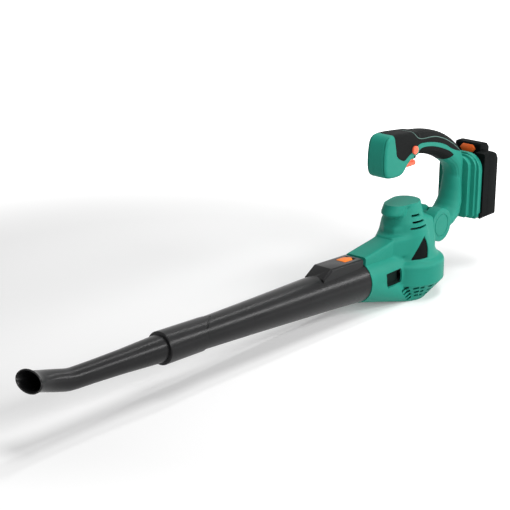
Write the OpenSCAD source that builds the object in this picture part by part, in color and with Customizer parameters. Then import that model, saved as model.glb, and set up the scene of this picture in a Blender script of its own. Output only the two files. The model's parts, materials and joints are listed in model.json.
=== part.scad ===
// Cordless leaf blower: fan housing with a motor tower, a swivelling handle with
// a slide-on battery pack, and a two-piece blowing tube.
// Frame: +Z up along the fan axis, -X towards the nozzle, origin under the fan
// axis on the surface the blower stands on.

/* [Fan housing] */
// Outer radius of the fan drum
drum_r = 55; // [52:1:60]
// Height of the drum's upper rim above the ground
rim_z = 53; // [50:1:58]
// Height of the sloping intake skirt
skirt_h = 26; // [22:1:28]
// Radius of the flat base
base_r = 36; // [33:1:40]
// Half width of the shoe that runs forward under the duct
shoe_w = 27; // [24:1:28]
// Thickness of the moulded shells
wall = 2.6; // [2:0.2:3.2]
// Thickness of the deck under the motor
deck_t = 3; // [2.4:0.2:4]
// Rows of intake slots on the skirt
skirt_rows = 4; // [2:1:4]
// Intake slots around the skirt
skirt_slots = 12; // [8:1:14]

/* [Motor tower] */
// Forward lean of the tower in degrees
tower_lean = 7.5; // [0:0.5:9]
// Tower radius where it leaves the drum
tower_base_r = 45; // [43:1:47]
// Tower radius at the neck under the cap
neck_r = 29.5; // [28:0.5:31]
// Length of the tower from the drum to the cap
tower_h = 60; // [56:1:64]
// Radius of the cap where it sits on the neck
cap_r = 28.5; // [28:0.5:30]
// Radius of the cap's flat top
cap_top_r = 20.4; // [18:0.2:23]
// Height of the cap's flat top above the ground
cap_z = 135; // [132:1:138]
// Radius of the nose in front of the cap
nose_r = 17; // [14:0.5:18]
// Distance of the nose's centre in front of the fan axis
nose_x = 33; // [28:0.5:34]
// Height of the nose
nose_h = 14.5; // [10:0.5:18]

/* [Motor and fan] */
// Radius of the motor can
motor_r = 18.5; // [16:0.5:20]
// Length of the motor can
motor_len = 40; // [36:1:42]
// Radius of the motor shaft
shaft_r = 2.5; // [2:0.25:3]
// Radius of the fan
fan_r = 42; // [36:1:46]
// Height of the fan's blades
blade_h = 18; // [12:1:20]
// Number of fan blades
blade_count = 12; // [9:1:15]

/* [Duct and tubes] */
// Height of the tube axis above the fan's centre on the ground
tube_z = 40.1; // [39:0.5:42]
// Upward slope of the tube in degrees
tube_slope = 2.73; // [0:0.25:4]
// Outer radius of the housing's duct
duct_r = 30; // [29:0.5:32]
// Distance from the fan axis to the duct's mouth
seam_s = 117; // [112:1:122]
// Length of the rear tube that can be seen
rear_tube_len = 308; // [280:1:340]
// Outer radius of the rear tube at its thin end
rear_tip_r = 18.8; // [18:0.2:20]
// Thickness of the tube walls
tube_wall = 2; // [1.6:0.1:2.4]
// Length that one tube reaches into the next
spigot_len = 62; // [50:1:64]
// Outer radius of the nozzle's collar
collar_r = 20.3; // [20:0.1:22]
// Length of the nozzle's collar
collar_len = 69; // [66:1:75]
// Length of the nozzle from the collar to its bend
nozzle_len = 142; // [120:1:160]
// Radius of the nozzle behind its bend
nozzle_tip_r = 12.7; // [12:0.1:13.4]
// Length of the bent tip
tip_len = 58; // [50:1:66]
// Upward angle of the bent tip in degrees
tip_angle = 16.4; // [8:0.2:20]
// Half width of the mouth
mouth_w = 21; // [18:0.5:24]
// Half height of the mouth
mouth_h = 13.2; // [12.5:0.1:15]

/* [Tube latch] */
// Height of the latch block above the tube axis
block_up = 35.3; // [34:0.1:37]
// Half width of the latch block
block_w = 16; // [14:0.5:17]
// Length of the latch block
block_len = 84; // [76:1:92]
// Width of the latch button
latch_w = 15; // [12:0.5:18]
// Length of the latch button
latch_len = 24; // [20:1:28]

/* [Handle] */
// Distance of the hinge behind the fan axis
hinge_x = 50; // [49:0.5:52]
// Height of the hinge
hinge_z = 90.6; // [90:0.5:93]
// Radius of the hinge knuckle
knuckle_r = 22; // [20:0.5:22.5]
// Half width across the hinge
knuckle_w = 26; // [24:0.5:28]
// Half thickness of the housing's hinge tongue
tongue_w = 8; // [6:0.5:9]
// Radius of the hinge bolt
bolt_r = 4; // [3:0.5:5]
// Half width of the handle
grip_w = 16; // [14.5:0.5:17]
// Thickness of the soft grip
soft_t = 1.6; // [1:0.2:2]
// Radius of the lock-off button
lock_r = 5.8; // [4.5:0.1:6.2]
// Width of the trigger
trigger_w = 14; // [11:0.5:16]

/* [Battery] */
// Width of the battery pack
pack_w = 74; // [71:1:78]
// Depth of the battery pack
pack_d = 37.7; // [36:0.1:42]
// Height of the pack's body
pack_h = 96; // [96:1:102]
// Radius of a cell
cell_r = 9; // [8.6:0.1:9]
// Length of a cell
cell_len = 65; // [60:1:65]
// Width of the pack's raised head
head_w = 42; // [38:1:46]
// Height of the pack's raised head
head_h = 10; // [8:1:14]

/* [Fits] */
// Running clearance of shafts and bolts
run_gap = 0.06; // [0.03:0.01:0.1]
// Clearance of tubes that slip into each other
slip_gap = 0.12; // [0.1:0.01:0.2]
// Clearance around moving buttons and between bodies
body_gap = 0.4; // [0.3:0.05:0.6]
// Gap between the battery pack and its mount
pack_gap = 0.3; // [0.3:0.05:0.6]

/* [Hidden] */

$fn = 72;
eps = 0.01;
big = 400;
green = [0.22, 0.56, 0.47];
black = [0.13, 0.13, 0.14];
orange = [0.95, 0.45, 0.15];
steel = [0.7, 0.71, 0.73];

// Housing heights
tower_mid_r = 37.5;
tower_mid_h = 29;
cap_x = 6;
cap_root = 9;
cap_room = 2.4;
deck_z = rim_z - wall;
mount_z = rim_z + 1;
mount_t = 3;
motor_z = mount_z + mount_t;
motor_top = motor_z + motor_len;
bell_t = 4;
volute_r = drum_r - wall;

// Fan heights
fan_top = deck_z - deck_t - 4;
fan_plate = 2;
blade_z = fan_top - fan_plate - blade_h;
hub_r = 9;
nut_h = 4;

// Tube stations, measured along the tube axis from the fan axis
spigot_r = duct_r - wall - slip_gap;
tube_rear_r = duct_r - 1;
rear_front_s = seam_s + rear_tube_len;
slip_r = rear_tip_r - 1.3;
collar_front_s = rear_front_s + collar_len;
step_r = collar_r - 3.6;
bend_s = collar_front_s + nozzle_len;

// Bend of the nozzle's tip, and how the tip is rooted in the straight nozzle
bend_r = 60;
bend_turn = tip_angle - tube_slope;
bend_arc = bend_r * PI * bend_turn / 180;
bend_reach = bend_r * tan(bend_turn / 2);
tip_s = bend_s - bend_reach;
tip_reach = bend_arc + tip_len - bend_reach;
tip_sides = 32;
tip_root = 3;
tip_step = 0.3;

spigot_in = 18;
lip = 7;

// Housing details
vane_t = 1.6;
shoe_front = 112;
shoe_low = 17;
shoe_high = 29;
shoe_run = 10;
pocket_wall = 1.6;
mount_plate_r = 30;
shaft_low = blade_z - nut_h - 1;
slot_start = -140;
slot_sweep = 280;
slot_h = 2;
screw_bite = 9;
screw_seat = 12;
function slot_z(row) = 3.5 + row * (skirt_h - 8) / skirt_rows;
function slot_len(row) = 2 * PI * skirt_r(slot_z(row)) * slot_sweep / 360 / skirt_slots * 0.74;

// Platform's rise above the latch block, as [rise, distance behind the seam]
platform_rise = [[6.3, 25], [14.6, 52.6], [22.9, 74.2], [23.9, 94]];
platform_w = block_w + 1;

// Latch block
block_s = seam_s + 5;
latch_s = block_s + 6;
latch_travel = 2.5;
latch_floor = block_up - 7;

// Handle, drawn in the hinge's frame as [x, z]
grip_outline = [[-86, 88.4], [-108, 88], [-122, 92.4], [-127, 106.4], [-126, 131.4], [-120, 144.4],
  [-104, 147.7], [-65, 144.4], [-20, 139], [12, 130.4], [40, 116.4], [61, 99.4], [71, 81.4],
  [72, 57.4], [72, 19.4], [68, -2.6], [45, -16.6], [20, -20.6], [8, -0.6], [14, 17.4], [28, 13],
  [42, 17.4], [50, 31.4], [51, 51.4], [47, 69.4], [34, 81.4], [12, 93.4], [-12, 102],
  [-36, 107.4], [-58, 108.4], [-72, 100.4]];
cover_depth = 17;
pad_depth = 8;
cover_from = 6;
cover_to = 11;
pad_from = 25;
pad_to = 28;
curve_steps = 3;
tongue_r = 16;
tongue_root = 11;
ear_x = 37;
seat_r = knuckle_r + 1.4;

// Battery mount on the handle's leg
mount_x = 69;
mount_face = 87;
mount_low = -1.6;
mount_top = 87.4;
mount_w = pack_w / 2 - 3;
rail_neck = 4.2;
rail_flange = 3.6;
rail_neck_w = 14;
rail_flange_w = 20;
rail_low = mount_low + 8;
rail_top = mount_top - 12;
terminal_w = 10;
terminal_depth = 6;
terminal_low = 22;
terminal_h = 26;

// Switch, trigger and lock-off button
switch_x = -46;
switch_z = 114;
switch_size = [26, 16, 16];
trigger_x = -54;
trigger_z = 104.4;
trigger_lean = 20;
trigger_l = 20;
trigger_travel = 3;
trigger_high = 7.6;
lock_x = -59.5;
lock_z = 118.9;
lock_out = 2.6;
lock_rod_r = 3.4;
lock_head = 4;
seat_x = -52.4;
seat_len = 8;
seat_z = 119.4;
seat_t = 1.8;

// Battery pack, in the hinge's frame
pack_x = mount_face + pack_gap;
pack_z = -8.6;
pack_back = pack_x + pack_d;
split_depth = 14;
pack_top = pack_z + pack_h;
pack_split = pack_x + split_depth;
pack_wall = 2.4;
corner_x = 16;
corner_z = 15;
head_chamfer = 2;
head_slope = 4;
channel_front = mount_face + rail_neck - body_gap;
channel_back = mount_face + rail_neck + rail_flange + body_gap;
head_x = pack_x + 9.6;
head_back = pack_back - 3;
head_low = pack_top - 12;
head_top = pack_top + head_h;
well_depth = 5;
release_w = 13;
release_h = 5.6;
release_cut = 4.5;
release_z = pack_top + 1.6;
release_out = 1.2;
release_depth = 4.5;
cell_count = 5;
cell_back = 5.7;
cell_x = pack_back - pack_wall - cell_r - cell_back;
pack_board_t = 1.2;
pack_board_w = 24;
pack_board_x = cell_x - cell_r - pack_board_t - 0.2;

// Bolt, screws and board inside the handle
bolt_low = -knuckle_w + 4;
bolt_head_y = knuckle_w - 4;
handle_screw_seat = 10;
board_t = 1.6;
board_low = 12;
board_top = 64;
board_x = mount_face - terminal_depth - board_t - 0.2;
board_w = grip_w - wall - 0.3;
soft_side = 1;
spring_h = 4.9;

// ---- shared frames and shapes ----

// Places children in the tube's frame: +Z along the tube towards the nozzle, +X up.
module along_tube() {
  translate([0, 0, tube_z]) rotate([0, tube_slope - 90, 0]) children();
}

// Places children in the tower's frame: +Z up the leaning tower from the drum's rim.
module along_tower() {
  translate([0, 0, rim_z]) rotate([0, -tower_lean, 0]) children();
}

// Extrudes an outline drawn as [x, z] points over a range of Y.
module slab(points, y0, y1) {
  translate([0, y1, 0]) rotate([90, 0, 0]) linear_extrude(y1 - y0) polygon(points);
}

// A cylinder along Y.
module y_rod(x, z, r, y0, y1) {
  translate([x, y1, z]) rotate([90, 0, 0]) cylinder(h = y1 - y0, r = r);
}

// A box given by its low and high corners.
module box(low, high) {
  translate(low) cube(high - low);
}

// Keeps one side of the mid plane: side -1 is the left half, +1 the right half.
module half(side) {
  intersection() {
    children();
    translate([-big, side < 0 ? -big : 0, -big]) cube([2 * big, big, 2 * big]);
  }
}

// Mirrors a left-hand piece to the right-hand side when side is +1.
module on_side(side) {
  if (side < 0) children();
  else mirror([0, 1, 0]) children();
}

// Catmull-Rom curve through control points a to b of a closed list, n steps each.
function at(p, i) = p[(i + len(p)) % len(p)];
function spline(p, i, t) = 0.5 * (2 * at(p, i) + (at(p, i + 1) - at(p, i - 1)) * t
  + (2 * at(p, i - 1) - 5 * at(p, i) + 4 * at(p, i + 1) - at(p, i + 2)) * t * t
  + (3 * at(p, i) - at(p, i - 1) - 3 * at(p, i + 1) + at(p, i + 2)) * t * t * t);
function slope(p, i, t) = spline(p, i, t + 0.02) - spline(p, i, t - 0.02);
function outward(v) = [-v[1], v[0]] / norm(v);
function curve(p, a, b, d, n) = [for (k = [0 : (b - a) * n])
  let (i = a + floor(k / n), t = k / n - floor(k / n))
  spline(p, i, t) + d * outward(slope(p, i, t))];
function closed(p, d, n) = curve(p, 0, len(p) - 1 / n, d, n);
function reversed(p) = [for (k = [len(p) - 1 : -1 : 0]) p[k]];
function strip(p, a, b, d0, d1, n) = concat(curve(p, a, b, d0, n), reversed(curve(p, a, b, d1, n)));

// A coil spring standing on +Z from the origin.
module coil(r, wire, h, turns) {
  steps = 12 * turns;
  sides = 6;
  rings = [for (k = [0 : steps]) for (j = [0 : sides - 1])
    let (a = 30 * k, b = 360 * j / sides)
    [(r + wire * cos(b)) * cos(a), (r + wire * cos(b)) * sin(a),
      wire + (h - 2 * wire) * k / steps + wire * sin(b)]];
  skin = [for (k = [0 : steps - 1]) for (j = [0 : sides - 1])
    [k * sides + j, (k + 1) * sides + j, (k + 1) * sides + (j + 1) % sides, k * sides + (j + 1) % sides]];
  start = [[for (j = [0 : sides - 1]) j]];
  end = [[for (j = [sides - 1 : -1 : 0]) steps * sides + j]];
  polyhedron(points = rings, faces = concat(skin, start, end));
}

// ---- fan housing ----

// Outside of the leaning tower, moved inwards by inset and lengthened by extra.
module tower_solid(inset, extra = 0) {
  along_tower() rotate_extrude() polygon([[0, -6], [tower_base_r - inset, -6],
    [tower_base_r - inset, 4], [tower_mid_r - inset, tower_mid_h], [neck_r - inset, tower_h],
    [neck_r - inset, tower_h + extra], [0, tower_h + extra]]);
}

// Drum with its rounded shoulder.
module drum_solid() {
  rotate_extrude() polygon([[0, skirt_h], [drum_r, skirt_h], [drum_r, rim_z],
    [drum_r - 2, rim_z + 2], [tower_base_r - 2, rim_z + 5], [0, rim_z + 5]]);
}

// Straight duct from the drum to its mouth.
module duct_solid() {
  along_tube() cylinder(h = seam_s, r = duct_r);
}

// Raised platform between the latch block and the tower, drawn as [up, along] from the tube's axis.
module platform_solid() {
  front = block_s - body_gap;
  along_tube() rotate([90, 0, 0]) translate([0, 0, -platform_w]) linear_extrude(2 * platform_w)
    polygon(concat([[18, 20], [18, seam_s], [duct_r, seam_s], [duct_r, front], [block_up, front]],
      [for (step = platform_rise) [block_up + step[0], seam_s - step[1]]]));
}

// Ears that carry the handle's hinge.
module hinge_ear() {
  difference() {
    slab([[0, rim_z + 1], [ear_x, rim_z + 1], [ear_x, hinge_z + knuckle_r],
      [0, hinge_z + knuckle_r + 5]], -knuckle_w, knuckle_w);
    along_tower() translate([0, 0, tower_h]) cylinder(h = big, r = cap_r + cap_room);
  }
}

// Tongue between the knuckle's cheeks.
module hinge_tongue() {
  difference() {
    union() {
      y_rod(hinge_x, hinge_z, tongue_r, -tongue_w, tongue_w);
      box([hinge_x - seat_r - wall / 2, -tongue_w, hinge_z - tongue_root],
        [hinge_x, tongue_w, hinge_z + tongue_root]);
    }
    y_rod(hinge_x, hinge_z, bolt_r + run_gap, -big, big);
  }
}

// Outline of the dark vane insert, seen from the side as [x, z].
vane_outline = [[-6, 90], [-2.5, 81], [-2, 71], [-6, 60.5], [-30, 59.5], [-21, 73], [-13, 83.5]];

// Cooling slots above the motor, as [low x, high x, z].
vent_slots = [[-20, -6, 118], [-22, -1, 109.5], [-26, 3, 101.5]];
vent_h = 2.6;
vent_y = [-50, -16];

// Window for the side pocket, as low and high [x, z].
pocket_low = [-84, 33];
pocket_high = [-56, 53];
pocket_depth = 8;

// Outer radius of the tower at a height above the drum's rim.
function tower_r(h) = h < 4 ? tower_base_r
  : h < tower_mid_h ? tower_base_r + (tower_mid_r - tower_base_r) * (h - 4) / (tower_mid_h - 4)
  : tower_mid_r + (neck_r - tower_mid_r) * (h - tower_mid_h) / (tower_h - tower_mid_h);

// Half length of a screw boss at [x, z] that ends in the tower's wall.
function boss_reach(x, z) = let (r = tower_r(z + boss_r - rim_z) - wall / 2,
  off = x + (z - rim_z) * tan(tower_lean)) sqrt(r * r - off * off);

// Screw bosses of the housing, as [x, z, half length].
boss_r = 4.2;
boss_places = [[-11.6, 107.3], [33, 61], [-31, 63]];
housing_bosses = concat([[-96, 80, 10]],
  [for (place = boss_places) [place[0], place[1], boss_reach(place[0], place[1])]]);
screw_r = 1.5;
screw_head_r = 3;
screw_head_h = 2.2;

// Material of both housing halves before they are split.
module housing_body() {
  difference() {
    union() {
      drum_solid();
      duct_solid();
      tower_solid(0);
      platform_solid();
      hinge_ear();
    }
    // Volute and duct
    translate([0, 0, -big]) cylinder(h = big + deck_z - deck_t + wall, r = volute_r);
    along_tube() translate([0, 0, 8]) cylinder(h = seam_s, r = duct_r - wall);
    // Inside of the motor tower, above its deck and in front of the knuckle's seat
    difference() {
      tower_solid(wall, 2);
      translate([-big, -big, mount_z - 2 * big]) cube(2 * big);
      y_rod(hinge_x, hinge_z, seat_r + wall, -big, big);
    }
    y_rod(hinge_x, hinge_z, seat_r, -big, big);
    // Opens the deck for the motor
    cylinder(h = mount_z + 1, r = motor_r - 4);
    // Room of the intake cover under the drum
    translate([0, 0, -eps]) cylinder(h = skirt_h + eps, r1 = base_r + body_gap, r2 = drum_r + body_gap);
    vane_recess();
    vents();
    for (side = [-1, 1]) on_side(side)
      box([pocket_low[0], -duct_r - 1, pocket_low[1]],
        [pocket_high[0], pocket_depth - duct_r + body_gap, pocket_high[1]]);
    // Pilot bores of the motor's screws
    motor_screw_places() translate([0, 0, deck_z - deck_t]) cylinder(h = big, r = screw_r + run_gap);
  }
}

// Cooling slots on both sides, above the motor.
module vents() {
  for (side = [-1, 1]) on_side(side) for (slot = vent_slots)
    box([slot[0], vent_y[0], slot[2]], [slot[1], vent_y[1], slot[2] + vent_h]);
}

// Vane recess on both sides of the tower.
module vane_recess() {
  difference() {
    slab(vane_outline, -big, big);
    tower_solid(vane_t + 0.2);
    drum_solid();
  }
}

// Screw bosses between the two halves.
module housing_posts() {
  for (post = housing_bosses) y_rod(post[0], post[1], boss_r, -post[2], post[2]);
}

module housing_shell(side) {
  color(green) half(side) difference() {
    union() {
      housing_body();
      hinge_tongue();
      housing_posts();
    }
    for (post = housing_bosses) {
      y_rod(post[0], post[1], screw_r + run_gap, -screw_bite, big);
      y_rod(post[0], post[1], screw_head_r + body_gap, screw_seat, big);
    }
    y_rod(hinge_x, hinge_z, bolt_r + run_gap, -tongue_w - 1, tongue_w + 1);
  }
}

module housing_left() { housing_shell(-1); }

module housing_right() { housing_shell(1); }

// Radius of the skirt's outside at height z.
function skirt_r(z) = base_r + (drum_r - base_r) * z / skirt_h;

// Shoe under the duct, moved inwards by inset and open at the top by extra.
module shoe_solid(inset, extra) {
  slab([[inset - shoe_front, shoe_low + inset], [-base_r - shoe_run, inset], [0, inset],
    [0, skirt_h + extra], [-drum_r, skirt_h + extra], [inset - shoe_front, shoe_high + extra]],
    inset - shoe_w, shoe_w - inset);
}

module intake_cover() {
  color(green) difference() {
    union() {
      difference() {
        union() {
          cylinder(h = skirt_h, r1 = base_r, r2 = drum_r);
          shoe_solid(0, 0);
        }
        translate([0, 0, wall]) cylinder(h = skirt_h, r1 = skirt_r(0) - wall, r2 = drum_r - wall);
        shoe_solid(wall, 10);
      }
      // Lip that centres the cover in the drum
      difference() {
        translate([0, 0, skirt_h - 4]) cylinder(h = 7, r = volute_r - body_gap);
        translate([0, 0, skirt_h - 5]) cylinder(h = 9, r = volute_r - body_gap - 1.8);
      }
    }
    // Intake slots on the slope
    for (row = [0 : skirt_rows - 1]) for (k = [0 : skirt_slots - 1])
      rotate([0, 0, slot_start + slot_sweep * (k + 0.5) / skirt_slots])
        translate([skirt_r(slot_z(row)) - 6, -slot_len(row) / 2, slot_z(row)])
          cube([12, slot_len(row), slot_h]);
    // Intake slots in the base
    for (k = [0 : 15]) rotate([0, 0, 22.5 * k]) translate([12, -1.5, -1]) cube([18, 3, wall + 2]);
    // Clears the duct
    along_tube() cylinder(h = seam_s, r = duct_r + body_gap);
  }
}

// Outside of the cap, moved inwards by inset: a cone with a flat top, and a nose in front of it.
module cap_solid(inset) {
  flare = (cap_r - cap_top_r) / (cap_z - rim_z - tower_h);
  root = rim_z + tower_h - cap_root;
  nose_low = cap_z - nose_h + inset;
  nose_high = cap_z - 0.5 - inset;
  translate([-cap_x, 0, root]) cylinder(h = cap_z - root - inset, r1 = cap_r + cap_root * flare - inset,
    r2 = cap_top_r - inset);
  translate([-nose_x, 0, nose_low]) cylinder(h = nose_high - nose_low, r = nose_r - inset);
  box([-nose_x, inset - nose_r, nose_low], [-cap_x, nose_r - inset, nose_high]);
}

module tower_cap() {
  color(green) difference() {
    cap_solid(0);
    cap_solid(wall);
    along_tower() translate([-big, -big, tower_h - 2 * big]) cube(2 * big);
    vents();
  }
}

// Blind dark pocket in the flank of the duct.
module side_pocket(side) {
  inset = body_gap / 2;
  color(black) on_side(side) intersection() {
    difference() {
      box([pocket_low[0] + inset, -duct_r - 1, pocket_low[1] + inset],
        [pocket_high[0] - inset, pocket_depth - duct_r, pocket_high[1] - inset]);
      box([pocket_low[0] + pocket_wall, -duct_r - 2, pocket_low[1] + pocket_wall],
        [pocket_high[0] - pocket_wall, pocket_depth - duct_r - pocket_wall,
        pocket_high[1] - pocket_wall]);
    }
    along_tube() cylinder(h = seam_s, r = duct_r - 0.4);
  }
}

module side_pocket_left() { side_pocket(-1); }

module side_pocket_right() { side_pocket(1); }

// Curved dark vane let into the tower's flank.
module vane_insert(side) {
  color(black) half(side) difference() {
    intersection() {
      slab(vane_outline, -big, big);
      tower_solid(0.1);
    }
    tower_solid(vane_t);
    drum_solid();
  }
}

module vane_insert_left() { vane_insert(-1); }

module vane_insert_right() { vane_insert(1); }

// ---- motor and fan ----

// Places children at each screw of the motor mount.
module motor_screw_places() {
  for (angle = [45 : 90 : 315]) rotate([0, 0, angle]) translate([mount_plate_r - 4, 0, 0]) children();
}

// Plate that carries the motor on the housing's deck.
module motor_mount() {
  color(black) difference() {
    translate([0, 0, mount_z]) cylinder(h = mount_t, r = mount_plate_r);
    translate([0, 0, mount_z - 1]) cylinder(h = mount_t + 2, r = motor_r * 0.5);
    motor_screw_places() translate([0, 0, mount_z - 1]) cylinder(h = mount_t + 2, r = screw_r + run_gap);
  }
}

module motor_can() {
  color(steel) difference() {
    translate([0, 0, motor_z]) cylinder(h = motor_len, r = motor_r);
    translate([0, 0, motor_z + 2]) cylinder(h = motor_len, r = motor_r - 1.2);
    translate([0, 0, motor_z - 1]) cylinder(h = 4, r = shaft_r + run_gap);
  }
}

module motor_magnets() {
  color([0.3, 0.3, 0.32]) for (side = [0, 180]) rotate([0, 0, side])
    translate([0, 0, motor_z + 6]) rotate_extrude(angle = 130)
      translate([motor_r - 4, 0]) square([2.7, motor_len - 14]);
}

module motor_end_bell() {
  color(black) difference() {
    translate([0, 0, motor_top]) cylinder(h = bell_t, r = motor_r);
    translate([0, 0, motor_top - 1]) cylinder(h = bell_t + 2, r = shaft_r + run_gap);
  }
}

module motor_screws() {
  color(steel) motor_screw_places() {
    translate([0, 0, deck_z]) cylinder(h = motor_z - deck_z + eps, r = screw_r);
    translate([0, 0, motor_z]) cylinder(h = screw_head_h, r = screw_head_r);
  }
}

module rotor() {
  color(steel) {
    translate([0, 0, shaft_low]) cylinder(h = motor_top + bell_t + 2 - shaft_low, r = shaft_r);
    translate([0, 0, motor_z + 8]) cylinder(h = motor_len - 18, r = motor_r - 5.2);
  }
}

module fan_impeller() {
  color(black) difference() {
    union() {
      translate([0, 0, fan_top - fan_plate]) cylinder(h = fan_plate, r = fan_r);
      translate([0, 0, blade_z]) cylinder(h = blade_h + fan_plate, r = hub_r);
      for (k = [0 : blade_count - 1]) rotate([0, 0, 360 * k / blade_count])
        translate([hub_r - 1, 0, blade_z]) rotate([0, 0, -28])
          cube([(fan_r - hub_r) * 0.98, 1.6, blade_h + eps]);
    }
    translate([0, 0, blade_z - 1]) cylinder(h = blade_h + fan_plate + 2, r = shaft_r);
    difference() {
      translate([0, 0, blade_z - 1]) cylinder(h = blade_h + fan_plate + 2, r = fan_r + 20);
      translate([0, 0, blade_z - 2]) cylinder(h = blade_h + fan_plate + 4, r = fan_r);
    }
  }
}

module fan_nut() {
  color(steel) translate([0, 0, blade_z - nut_h]) difference() {
    cylinder(h = nut_h, r = shaft_r + 2.2, $fn = 6);
    translate([0, 0, -1]) cylinder(h = nut_h + 2, r = shaft_r);
  }
}

module housing_screws() {
  color(steel) for (post = housing_bosses) {
    y_rod(post[0], post[1], screw_r, -screw_bite + 1, screw_seat + eps);
    y_rod(post[0], post[1], screw_head_r, screw_seat, screw_seat + screw_head_h);
  }
}

// ---- tubes ----

module rear_tube() {
  color(black) along_tube() difference() {
    union() {
      translate([0, 0, seam_s - spigot_in]) cylinder(h = spigot_in + eps, r = spigot_r);
      translate([0, 0, seam_s]) cylinder(h = rear_tube_len, r1 = tube_rear_r, r2 = rear_tip_r);
      translate([0, 0, rear_front_s - eps]) cylinder(h = spigot_len, r = slip_r);
      latch_block();
    }
    translate([0, 0, seam_s - spigot_in - 1]) cylinder(h = spigot_in + 1 + eps, r = spigot_r - tube_wall);
    translate([0, 0, seam_s])
      cylinder(h = rear_tube_len, r1 = spigot_r - tube_wall, r2 = slip_r - tube_wall);
    translate([0, 0, rear_front_s - eps]) cylinder(h = spigot_len + 1, r = slip_r - tube_wall);
    // Well of the latch button
    translate([latch_floor, -latch_w / 2 - body_gap, latch_s - body_gap])
      cube([20, latch_w + 2 * body_gap, latch_len + 2 * body_gap]);
  }
}

// Block that holds the latch, drawn as [up, along] and tapered at its front.
module latch_block() {
  front = block_s + block_len;
  rotate([90, 0, 0]) translate([0, 0, -block_w]) linear_extrude(2 * block_w)
    polygon([[18, block_s], [block_up, block_s], [block_up, front - 17], [24, front], [18, front]]);
}

module latch_button() {
  color(orange) along_tube() translate([latch_floor + latch_travel + 0.5, 0, latch_s])
    rotate([0, 90, 0]) linear_extrude(block_up - latch_floor - latch_travel + 0.4)
      polygon([[0, 0], [-5, latch_w / 2], [-latch_len, latch_w / 2], [-latch_len, -latch_w / 2],
        [-5, -latch_w / 2]]);
}

module latch_spring() {
  color(steel) along_tube() translate([latch_floor, 0, latch_s + latch_len / 2]) rotate([0, 90, 0])
    coil(3, 0.4, latch_travel + 0.5, 2);
}

// Point and tilt of the tip's axis, as [up, along, tilt], a distance past the start of the bend.
function tip_place(u) = let (tilt = max(0, min(bend_turn, bend_turn * u / bend_arc)),
  rest = u - bend_arc * tilt / bend_turn)
  [bend_r * (1 - cos(tilt)) + rest * sin(tilt), bend_r * sin(tilt) + rest * cos(tilt), tilt];

// Ring of points around the tip's axis at a station [distance, half height, half width].
function tip_ring(station) = let (p = tip_place(station[0]))
  [for (j = [0 : tip_sides - 1]) let (b = 360 * j / tip_sides)
    [p[0] + station[1] * cos(b) * cos(p[2]), station[2] * sin(b), p[1] - station[1] * cos(b) * sin(p[2])]];

// Stations of the tip's outside, from its root in the straight nozzle to the mouth.
function tip_outside() = let (root_r = nozzle_tip_r - tip_step) [
  [-tip_root, root_r, root_r], [tip_step, root_r, root_r], [2 * tip_step, nozzle_tip_r, nozzle_tip_r],
  [bend_arc / 2, nozzle_tip_r, nozzle_tip_r], [bend_arc, nozzle_tip_r, nozzle_tip_r],
  [tip_reach - 3 * lip, nozzle_tip_r - 0.8, nozzle_tip_r + 1.5], [tip_reach - lip, mouth_h - 2, mouth_w - 4],
  [tip_reach - 1.5, mouth_h, mouth_w], [tip_reach, mouth_h, mouth_w]];

// Bent tip with its flared mouth, open at both ends.
module nozzle_tip() {
  outside = tip_outside();
  inside = [for (k = [len(outside) - 1 : -1 : 0])
    let (thick = k < 2 ? tube_wall - 2 * tip_step : tube_wall)
    [outside[k][0], outside[k][1] - thick, outside[k][2] - thick]];
  stations = concat(outside, inside);
  count = len(stations);
  points = [for (station = stations) each tip_ring(station)];
  faces = [for (k = [0 : count - 1]) for (j = [0 : tip_sides - 1])
    let (next = (k + 1) % count, side = (j + 1) % tip_sides)
    [k * tip_sides + j, next * tip_sides + j, next * tip_sides + side, k * tip_sides + side]];
  polyhedron(points = points, faces = faces);
}

module nozzle_tube() {
  color(black) along_tube() {
    difference() {
      union() {
        translate([0, 0, rear_front_s + body_gap])
          cylinder(h = collar_len - body_gap, r1 = collar_r - 1, r2 = collar_r);
        translate([0, 0, collar_front_s - eps])
          cylinder(h = tip_s - collar_front_s + eps, r1 = step_r, r2 = nozzle_tip_r);
      }
      translate([0, 0, rear_front_s]) cylinder(h = spigot_len + 2, r = slip_r + slip_gap);
      translate([0, 0, rear_front_s + spigot_len + 1])
        cylinder(h = collar_front_s - rear_front_s - spigot_len, r1 = slip_r - tube_wall,
          r2 = step_r - tube_wall);
      translate([0, 0, collar_front_s])
        cylinder(h = tip_s - collar_front_s + eps, r1 = step_r - tube_wall, r2 = nozzle_tip_r - tube_wall);
    }
    translate([0, 0, tip_s]) nozzle_tip();
  }
}

// ---- handle ----

// Places children in the hinge's frame.
module at_hinge() {
  translate([hinge_x, 0, hinge_z]) children();
}

// Places children in the trigger's frame: +Z is the way the trigger is pulled.
module at_trigger() {
  translate([trigger_x, 0, trigger_z]) rotate([0, -trigger_lean, 0]) children();
}

// Curved body of the handle, with its edge stepped in on both sides.
module grip_solid() {
  slab(closed(grip_outline, 0, curve_steps), 3 - grip_w, grip_w - 3);
  slab(closed(grip_outline, -1.5, curve_steps), -grip_w, grip_w);
}

// Plate on the leg that carries the battery, with its T-shaped rail.
module battery_mount() {
  box([mount_x - 2, -mount_w + 8, mount_low + 4], [mount_x + 6, mount_w - 8, mount_top - 4]);
  box([mount_x + 5, -mount_w + 4, mount_low + 2], [mount_face - 7, mount_w - 4, mount_top - 2]);
  box([mount_face - 8, -mount_w, mount_low], [mount_face, mount_w, mount_top]);
  box([mount_face - eps, -rail_neck_w, rail_low], [mount_face + rail_neck + eps, rail_neck_w, rail_top]);
  box([mount_face + rail_neck, -rail_flange_w, rail_low],
    [mount_face + rail_neck + rail_flange, rail_flange_w, rail_top]);
}

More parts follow.
